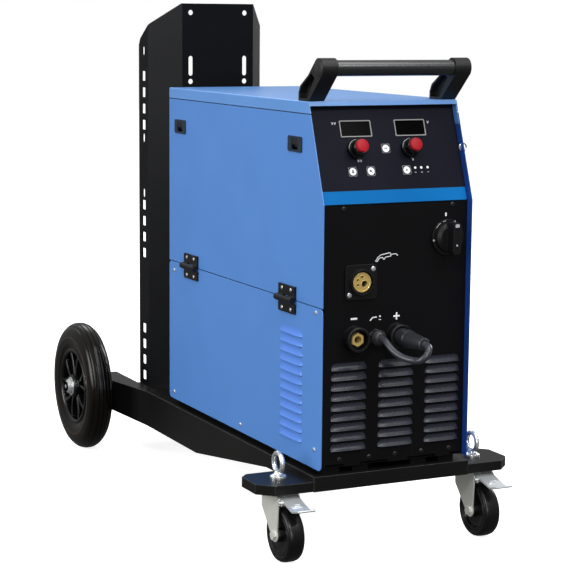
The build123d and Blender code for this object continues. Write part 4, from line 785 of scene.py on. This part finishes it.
def add_knob(name):
    """A black knob with fine flutes, a grey arc on its skirt that is a painted highlight, and a red cap."""
    u, v = KNOBS[name]
    base = SLOPE_FACE.at(u, v)
    bm = bmesh.new()
    skirt = [(0, 2.4), (17.2, 2.4), (17.8, 3.2), (17.4, 7.0), (16.2, 9.4), (14.6, 10.5), (14.2, 24.0),
             (13.0, 25.6), (0, 25.6)]
    add_lathe(bm, base, SLOPE_FACE.n, skirt, segments=72, closed=False)
    flutes = Face(base, SLOPE_FACE.u, SLOPE_FACE.v, SLOPE_FACE.n)
    for flute in disc((0, 0), 14.1, 24):
        add_prism(bm, flutes, disc(flute, 0.75, 8), 10.2, 24.0)
    finish_mesh(f"{name}_skirt", bm, MATERIALS["knob_black"], name, 40, replaces=(name,))
    bm = bmesh.new()
    # Painted highlight: a grey arc on the upper left of the skirt's rim, where light catches it.
    outer = arc((u, v), 16.9, 95, 178, 24)
    inner = arc((u, v), 16.2, 178, 95, 24)
    add_prism(bm, SLOPE_FACE, outer + inner, 8.1, 9.7)
    finish_mesh(f"{name}_highlight_arc", bm, MATERIALS["grey_print_and_highlight"], name)
    bm = bmesh.new()
    cap = [(0, 25.5), (11.9, 25.5), (11.8, 29.4), (11.2, 30.8), (10.0, 31.3), (0, 31.3)]
    add_lathe(bm, base, SLOPE_FACE.n, cap, segments=72, closed=False)
    finish_mesh(f"{name}_cap", bm, MATERIALS["cap_red"], name, 50)


def add_displays():
    """Dark windows in grey frames."""
    bm = bmesh.new()
    for centre in DISPLAYS:
        opening = rounded(centre, 58.6, 26.6, 1.6)
        add_ring(bm, SLOPE_FACE, opening, rounded(centre, 62.8, 30.8, 2.6), 1.85, 3.45)
    bevel(finish_mesh("display_frames", bm, MATERIALS["window_frame"], "frame"), 0.4)
    bm = bmesh.new()
    for centre in DISPLAYS:
        add_prism(bm, SLOPE_FACE, rounded(centre, 59.6, 27.6, 1.8), 1.9, 3.0)
    finish_mesh("display_windows", bm, MATERIALS["window"], "frame")


def button_glyph(name, centre):
    """The simple dark sign on a button's white disc."""
    u, v = centre
    if name == "mode_button":
        left, right = u - 2.2, u + 2.2
        strokes = (((left, v - 1.8), (left, v + 1.8)), ((right, v - 1.8), (right, v + 1.8)),
                   ((left, v + 1.6), (u, v - 0.6)), ((u, v - 0.6), (right, v + 1.6)))
        return [bar(start, end, 0.9) for start, end in strokes]
    if name == "gas_test_button":
        return [disc((u, v - 1.0), 1.9, 20), bar((u, v - 0.4), (u, v + 3.4), 1.2),
                bar((u - 1.8, v + 2.2), (u + 1.8, v + 2.2), 0.8)]
    if name == "wire_inch_button":
        return [disc((u - 0.8, v + 0.4), 2.1, 20), bar((u + 0.2, v - 0.8), (u + 3.2, v - 2.6), 1.1)]
    return [[(u - 1.5, v - 2.4), (u + 2.5, v), (u - 1.5, v + 2.4)]]


def add_buttons():
    """Dark keys with a thin pale outline, a white disc and a simple sign."""
    for name, (u, v) in BUTTONS.items():
        bm = bmesh.new()
        add_prism(bm, SLOPE_FACE, rounded((u, v), 17, 17, 3), 1.3, 2.8)
        bevel(finish_mesh(f"{name}_key", bm, MATERIALS["key"], name, replaces=(name,)), 0.35)
        bm = bmesh.new()
        add_prism(bm, SLOPE_FACE, disc((u, v), 6.9), 2.7, 2.92)
        inner = rounded((u, v), 16.0, 16.0, 2.6)
        add_ring(bm, SLOPE_FACE, inner, rounded((u, v), 16.5, 16.5, 2.8), 2.7, 2.86)
        finish_mesh(f"{name}_disc", bm, MATERIALS["white_print"], name)
        bm = bmesh.new()
        for outline in button_glyph(name, (u, v)):
            add_prism(bm, SLOPE_FACE, outline, 2.8, 2.98)
        finish_mesh(f"{name}_sign", bm, MATERIALS["dark_print"], name)


def add_panel_print():
    """Lamps and small marks on the membrane."""
    bm = bmesh.new()
    for u in (49.8, 62.3, 75.3):
        add_prism(bm, SLOPE_FACE, disc((u, 66), 2.3, 20), PRINT_BASE, 2.2)
        add_prism(bm, SLOPE_FACE, bar((u - 1.4, 57.5), (u + 1.4, 57.5), 0.9), PRINT_BASE, PRINT_TOP)
    for u, v in ((-103, 150.5), (-98, 150.5), (90, 149.5), (-62, 81.5), (-57, 81.5), (48, 81.5)):
        add_prism(bm, SLOPE_FACE, bar((u - 1.6, v + 2.2), (u, v - 2.2), 0.8), PRINT_BASE, PRINT_TOP)
        add_prism(bm, SLOPE_FACE, bar((u, v - 2.2), (u + 1.6, v + 2.2), 0.8), PRINT_BASE, PRINT_TOP)
    finish_mesh("panel_marks", bm, MATERIALS["white_print"], "frame")


# ---------------------------------------------------------------- front marks and switch
SWITCH = middle("switch_plate")
MARK = 0.2
TORCH_STROKES = (
    ((-38.5, 532.5), (-33.5, 539.5)),
    ((-35.5, 531.5), (-30.5, 538.0)),
    ((-38.5, 532.5), (-35.5, 531.5)),
    ((-33.5, 539.5), (-27.5, 543.5)),
    ((-27.5, 543.5), (-9.0, 546.5)),
    ((-30.5, 538.0), (-24.0, 538.5)),
    ((-24.0, 538.5), (-21.5, 534.5)),
    ((-21.5, 534.5), (-18.5, 539.0)),
    ((-18.5, 539.0), (-7.0, 540.5)),
    ((-9.0, 546.5), (-7.0, 540.5)),
    ((-8.0, 543.6), (3.5, 544.0)),
    ((3.5, 544.0), (6.0, 540.5)),
)


def add_front_marks():
    """The signs over the sockets, a simple torch, and a stroke over the switch."""
    bm = bmesh.new()
    switch_u = SWITCH.x / MM
    add_prism(bm, FRONT_FACE, bar((-86.5, 432), (-73.5, 432), 3.4), 0, MARK)
    add_prism(bm, FRONT_FACE, bar((-0.5, 431.8), (12.5, 431.8), 3.0), 0, MARK)
    add_prism(bm, FRONT_FACE, bar((6, 425.3), (6, 438.3), 3.0), 0, 1.1 * MARK)
    for stroke in (((-48, 426.5), (-42.5, 432)), ((-42.5, 432), (-34, 432.6))):
        add_prism(bm, FRONT_FACE, bar(*stroke, 2.0), 0, MARK)
    add_prism(bm, FRONT_FACE, disc((-28, 433.5), 1.7, 20), 0, MARK)
    add_prism(bm, FRONT_FACE, bar((-30, 427.5), (-25.5, 427.5), 1.2), 0, MARK)
    add_prism(bm, FRONT_FACE, bar((switch_u - 2, 607), (switch_u - 2, 613.5), 3.2), 0, MARK)
    for stroke in TORCH_STROKES:
        add_prism(bm, FRONT_FACE, bar(*stroke, 1.4), 0, MARK)
    finish_mesh("front_marks", bm, MATERIALS["white_print"], "frame")


def add_switch_marks():
    """Grey marks on the switch's round plate and on its bar knob."""
    u, v = SWITCH.x / MM, SWITCH.z / MM
    bm = bmesh.new()
    for start, end in ((100, 112), (122, 146), (63, 68), (40, 46), (-58, -30)):
        outer = arc((u, v), 30.6, start, end, 8)
        inner = arc((u, v), 29.4, end, start, 8)
        add_prism(bm, FRONT_FACE, outer + inner, 5.9, 6.3)
    add_prism(bm, FRONT_FACE, disc((u + 30 * math.cos(math.radians(64)), v + 27), 2.0, 16), 5.9, 6.3)
    add_prism(bm, FRONT_FACE, disc((u - 29.6, v - 5), 1.8, 16), 5.9, 6.3)
    finish_mesh("switch_marks", bm, MATERIALS["grey_print_and_highlight"], "frame")
    bm = bmesh.new()
    tip = high("main_switch_knob").z / MM - v
    add_prism(bm, FRONT_FACE, rounded((u, v + tip - 5.0), 8.5, 6.0, 1.5), 37.9, 38.2)
    add_prism(bm, FRONT_FACE, disc((u, v - 12), 1.9, 16), 37.9, 38.25)
    finish_mesh("switch_highlight_arc", bm, MATERIALS["grey_print_and_highlight"], "main_switch")


# ---------------------------------------------------------------- connectors
def add_gland():
    """A ribbed clamping nut on a hexagonal base."""
    centre = Vector((middle("cable_gland").x, PANEL_Y, middle("cable_gland").z))
    bm = bmesh.new()
    face = Face(centre, (1, 0, 0), (0, 0, 1), (0, -1, 0))
    add_prism(bm, face, arc((0, 0), 15.4, 30, 330, 5), 0, 7)
    ribs = 18
    outline = []
    for step in range(ribs * 4):
        angle = 2 * math.pi * step / (ribs * 4)
        radius = 14.4 if step % 4 < 2 else 13.4
        outline.append((radius * math.cos(angle), radius * math.sin(angle)))
    add_prism(bm, face, outline, 7, 17)
    nose = [(0, 17), (13.2, 17), (12.4, 20), (9.4, 23.4), (8.6, 23.9), (0, 23.9)]
    add_lathe(bm, centre, (0, -1, 0), nose, segments=64, closed=False)
    nut = finish_mesh("gland_nut", bm, MATERIALS["gland_grey"], "frame",
                      replaces=("cable_gland",))
    bevel(nut, 0.35)


def add_contact_rims():
    """Turned edges on the brass: round the torch contact's face and its holes."""
    bm = bmesh.new()
    u, v = -68.5, 497.5
    add_ring(bm, FRONT_FACE, disc((u, v), 15.6, 48), disc((u, v), 17.7, 48), 6.9, 7.9)
    for du, dv, radius in ((5, -3, 5.6), (0, 9.5, 2.2), (-8, 4, 2.2), (-8, -4.6, 2.2)):
        hole = (u + du, v + dv)
        add_ring(bm, FRONT_FACE, disc(hole, radius + 0.1), disc(hole, radius + 1.1), 6.9, 7.4)
    bevel(finish_mesh("torch_contact_rims", bm, MATERIALS["brass"], "frame"), 0.25)


def add_handle_caps():
    """The round end faces of the handle; their lighter colour is painted light."""
    bm = bmesh.new()
    grip = middle("handle_grip")
    half_length = 148.4 * MM
    cap = [(0, 0), (15.4, 0), (15.4, 0.5), (14.6, 1.0), (0, 1.0)]
    for side in (-1, 1):
        end = Vector((side * half_length, grip.y, grip.z))
        add_lathe(bm, end, (side, 0, 0), cap, segments=64, closed=False)
    finish_mesh("handle_end_caps", bm, MATERIALS["handle_cap_lit"], "frame")


def add_wire_winding():
    """Copper-coloured wire, wound side by side over the spool's barrel."""
    centre = middle("wire_spool")
    inset = 5.2
    half = (high("wire_spool").x - low("wire_spool").x) / MM / 2 - inset
    turns = 34
    profile = [(117.0, -half)]
    for step in range(turns):
        place = -half + 2 * half * (step + 0.5) / turns
        reach = half / turns
        profile += [(118.2, place - reach * 0.9), (119.0, place), (118.2, place + reach * 0.9)]
    profile.append((117.0, half))
    bm = bmesh.new()
    add_lathe(bm, centre, (1, 0, 0), profile, segments=128)
    finish_mesh("wire_winding", bm, MATERIALS["copper_wire"], "wire_spool", 70)


def add_hook_ring():
    """A small upright zinc ring high on the right side panel."""
    bm = bmesh.new()
    ring_radius, tube_radius = 7.0, 1.7
    centre = Vector((HALF + 4 * MM, FRONT + 44 * MM, 728 * MM))
    count, tube = 40, 10
    rings = []
    for step in range(count):
        angle = 2 * math.pi * step / count
        out = Vector((math.cos(angle), 0, math.sin(angle)))
        ring = []
        for turn in range(tube):
            around = 2 * math.pi * turn / tube
            offset = out * math.cos(around) + Vector((0, math.sin(around), 0))
            ring.append(bm.verts.new(centre + (out * ring_radius + offset * tube_radius) * MM))
        rings.append(ring)
    for step in range(count):
        here, there = rings[step], rings[(step + 1) % count]
        for turn in range(tube):
            follower = (turn + 1) % tube
            bm.faces.new((here[turn], here[follower], there[follower], there[turn]))
    finish_mesh("torch_hook_ring", bm, MATERIALS["zinc"], "frame")


def add_right_flange():
    """The folded top edge of the right side panel, behind the roof's skirt."""
    bm = bmesh.new()
    inside = Face((HALF - 2.2 * MM, FRONT, 0), (0, 1, 0), (0, 0, 1), (1, 0, 0))
    length = (high("right_side_panel").y - FRONT) / MM
    bottom, top = 770, 800
    start = (bottom - KINK_Z / MM) * math.tan(LEAN)
    outline = [(start + 1, bottom), (length - 3, bottom), (length - 3, top), (start + 11.5, top)]
    add_prism(bm, inside, outline, -0.6, 0.4)
    finish_mesh("right_top_flange", bm, MATERIALS["casing_blue"], "frame")


# ---------------------------------------------------------------- hinges and screws
def add_hinge_screws():
    """Four bright screw heads on each hinge, two of them on its door leaf."""
    seam, reach = 455.5, 18.0
    profile = [(0, 4.4), (3.6, 4.4), (3.7, 4.75), (2.9, 5.3), (1.4, 5.4), (0, 5.1)]
    for up, body, slot in ((-1, "frame", "fixed"), (1, "door", "door")):
        bm = bmesh.new()
        for y in (137.0, 584.0):
            for across in (-reach, reach):
                centre = LEFT_FACE.at(y + across, seam + up * reach)
                add_lathe(bm, centre, LEFT_FACE.n, profile, segments=24, closed=False)
        finish_mesh(f"hinge_screws_{slot}", bm, MATERIALS["zinc"], body)


def add_screw(bm, face, u, v, base, radius):
    """A domed screw head."""
    rise = radius * 0.55
    profile = [(0, base), (radius, base), (radius, base + 0.35 * rise), (0.75 * radius, base + 0.85 * rise),
               (0.35 * radius, base + rise), (0, base + rise)]
    add_lathe(bm, face.at(u, v), face.n, profile, segments=28, closed=False)


def add_cross(bm, face, u, v, height, reach):
    """A dark cross of painted shadow for the recess in a screw's head."""
    for angle in (20, 110):
        across = reach * math.cos(math.radians(angle))
        up = reach * math.sin(math.radians(angle))
        stroke = bar((u - across, v - up), (u + across, v + up), reach * 0.42)
        add_prism(bm, face, stroke, height, height + 0.12)


FRONT_SCREWS = ((-103, 628), (117, 628), (-106, 180), (-46, 180), (7, 180), (62, 180), (120, 180))
TORCH_SCREWS = ((-45, 520), (-92, 475))
REAR_SCREWS = ((-130, 185), (130, 185), (-130, 480), (130, 480), (-130, 770), (130, 770))
SIDE_SCREWS = ((25, 446), (679, 437), (27, 200), (679, 180), (344, 179))


def add_panel_screws():
    """Black screws on the front, bright ones on the sides, the back and the torch connector."""
    bm = bmesh.new()
    # recess holds the dark crosses: painted shadow in the screws' recesses.
    recess = bmesh.new()
    for u, v in FRONT_SCREWS:
        add_screw(bm, FRONT_FACE, u, v, 0, 4.2)
        add_cross(recess, FRONT_FACE, u, v, 2.2, 2.0)
    finish_mesh("front_screws", bm, MATERIALS["black_screw"], "frame", replaces=("panel_screws",))
    bright = bmesh.new()
    right_face = Face((HALF, FRONT, 0), (0, 1, 0), (0, 0, 1), (1, 0, 0))
    rear_face = Face((0, high("rear_panel").y, 0), (1, 0, 0), (0, 0, 1), (0, 1, 0))
    for face, places in ((LEFT_FACE, SIDE_SCREWS), (right_face, SIDE_SCREWS), (rear_face, REAR_SCREWS)):
        for u, v in places:
            add_screw(bright, face, u, v, 0, 4.2)
            add_cross(recess, face, u, v, 2.2, 2.0)
    for u, v in TORCH_SCREWS:
        add_screw(bright, FRONT_FACE, u, v, 3.95, 4.6)
        add_cross(recess, FRONT_FACE, u, v, 6.35, 2.2)
    finish_mesh("side_screws", bright, MATERIALS["zinc"], "frame")
    finish_mesh("screw_recess_shadows", recess, MATERIALS["shadow"], "frame")


# ---------------------------------------------------------------- the rest of the CAD nodes
NODE_MATERIALS = {
    "chassis_black": ("chassis_deck", "side_rails", "cylinder_platform", "caster_outriggers"),
    "column_black": ("bottle_rack",),
    "casing_blue": ("service_door",),
    "right_blue_shaded": ("right_side_panel",),
    "roof_blue_lit": ("roof_panel",),
    "panel_dark": ("control_panel", "base_pan", "rear_panel"),
    "zinc": ("eye_bolts", "caster_heads", "axle_stubs"),
    "pedal_zinc": ("brake_pedal_left", "brake_pedal_right"),
    "bezel_slate": ("latch_bezels",),
    "fork_zinc": ("caster_fork_left", "caster_fork_right"),
    "black_plastic": ("hinge_fixed_leaves", "hinge_door_leaves", "latch_slider_front",
                      "latch_slider_rear", "torch_connector_body", "output_sockets", "switch_plate",
                      "main_switch_knob"),
    "handle_plastic": ("handle_brackets",),
    "grip_plastic": ("handle_grip",),
    "overlay": ("control_overlay",),
    "window": ("display_modules",),
    "brass": ("brass_contacts",),
    "plug_rubber": ("jumper_plug",),
    "inner_zinc": ("divider_wall",),
    "inner_plastic": ("spool_mandrel", "fan_rotor", "rear_fittings", "wire_spool"),
    "aluminium": ("wire_feeder", "pressure_arm", "power_module"),
    "roller_steel": ("drive_roller", "idler_roller"),
}


def dress_nodes():
    """Gives every CAD node that stays its material."""
    for name, nodes in NODE_MATERIALS.items():
        for node in nodes:
            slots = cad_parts[node].material_slots
            for slot in slots:
                slot.link = "OBJECT"
                slot.material = MATERIALS[name]


add_camera()
add_cable()
add_studio()
dress_nodes()
add_front_panel()
add_left_panel()
for wheel_hand in ("left", "right"):
    add_tyre(wheel_hand)
    add_hub(wheel_hand)
    add_axle_cap(wheel_hand)
    add_caster_wheel(wheel_hand)
    add_pedal_pads(wheel_hand)
for knob_name in KNOBS:
    add_knob(knob_name)
add_displays()
add_buttons()
add_panel_print()
add_front_marks()
add_switch_marks()
add_gland()
add_contact_rims()
add_handle_caps()
add_wire_winding()
add_hook_ring()
add_right_flange()
add_panel_screws()
add_hinge_screws()
bpy.context.scene.view_settings.view_transform = "Standard"
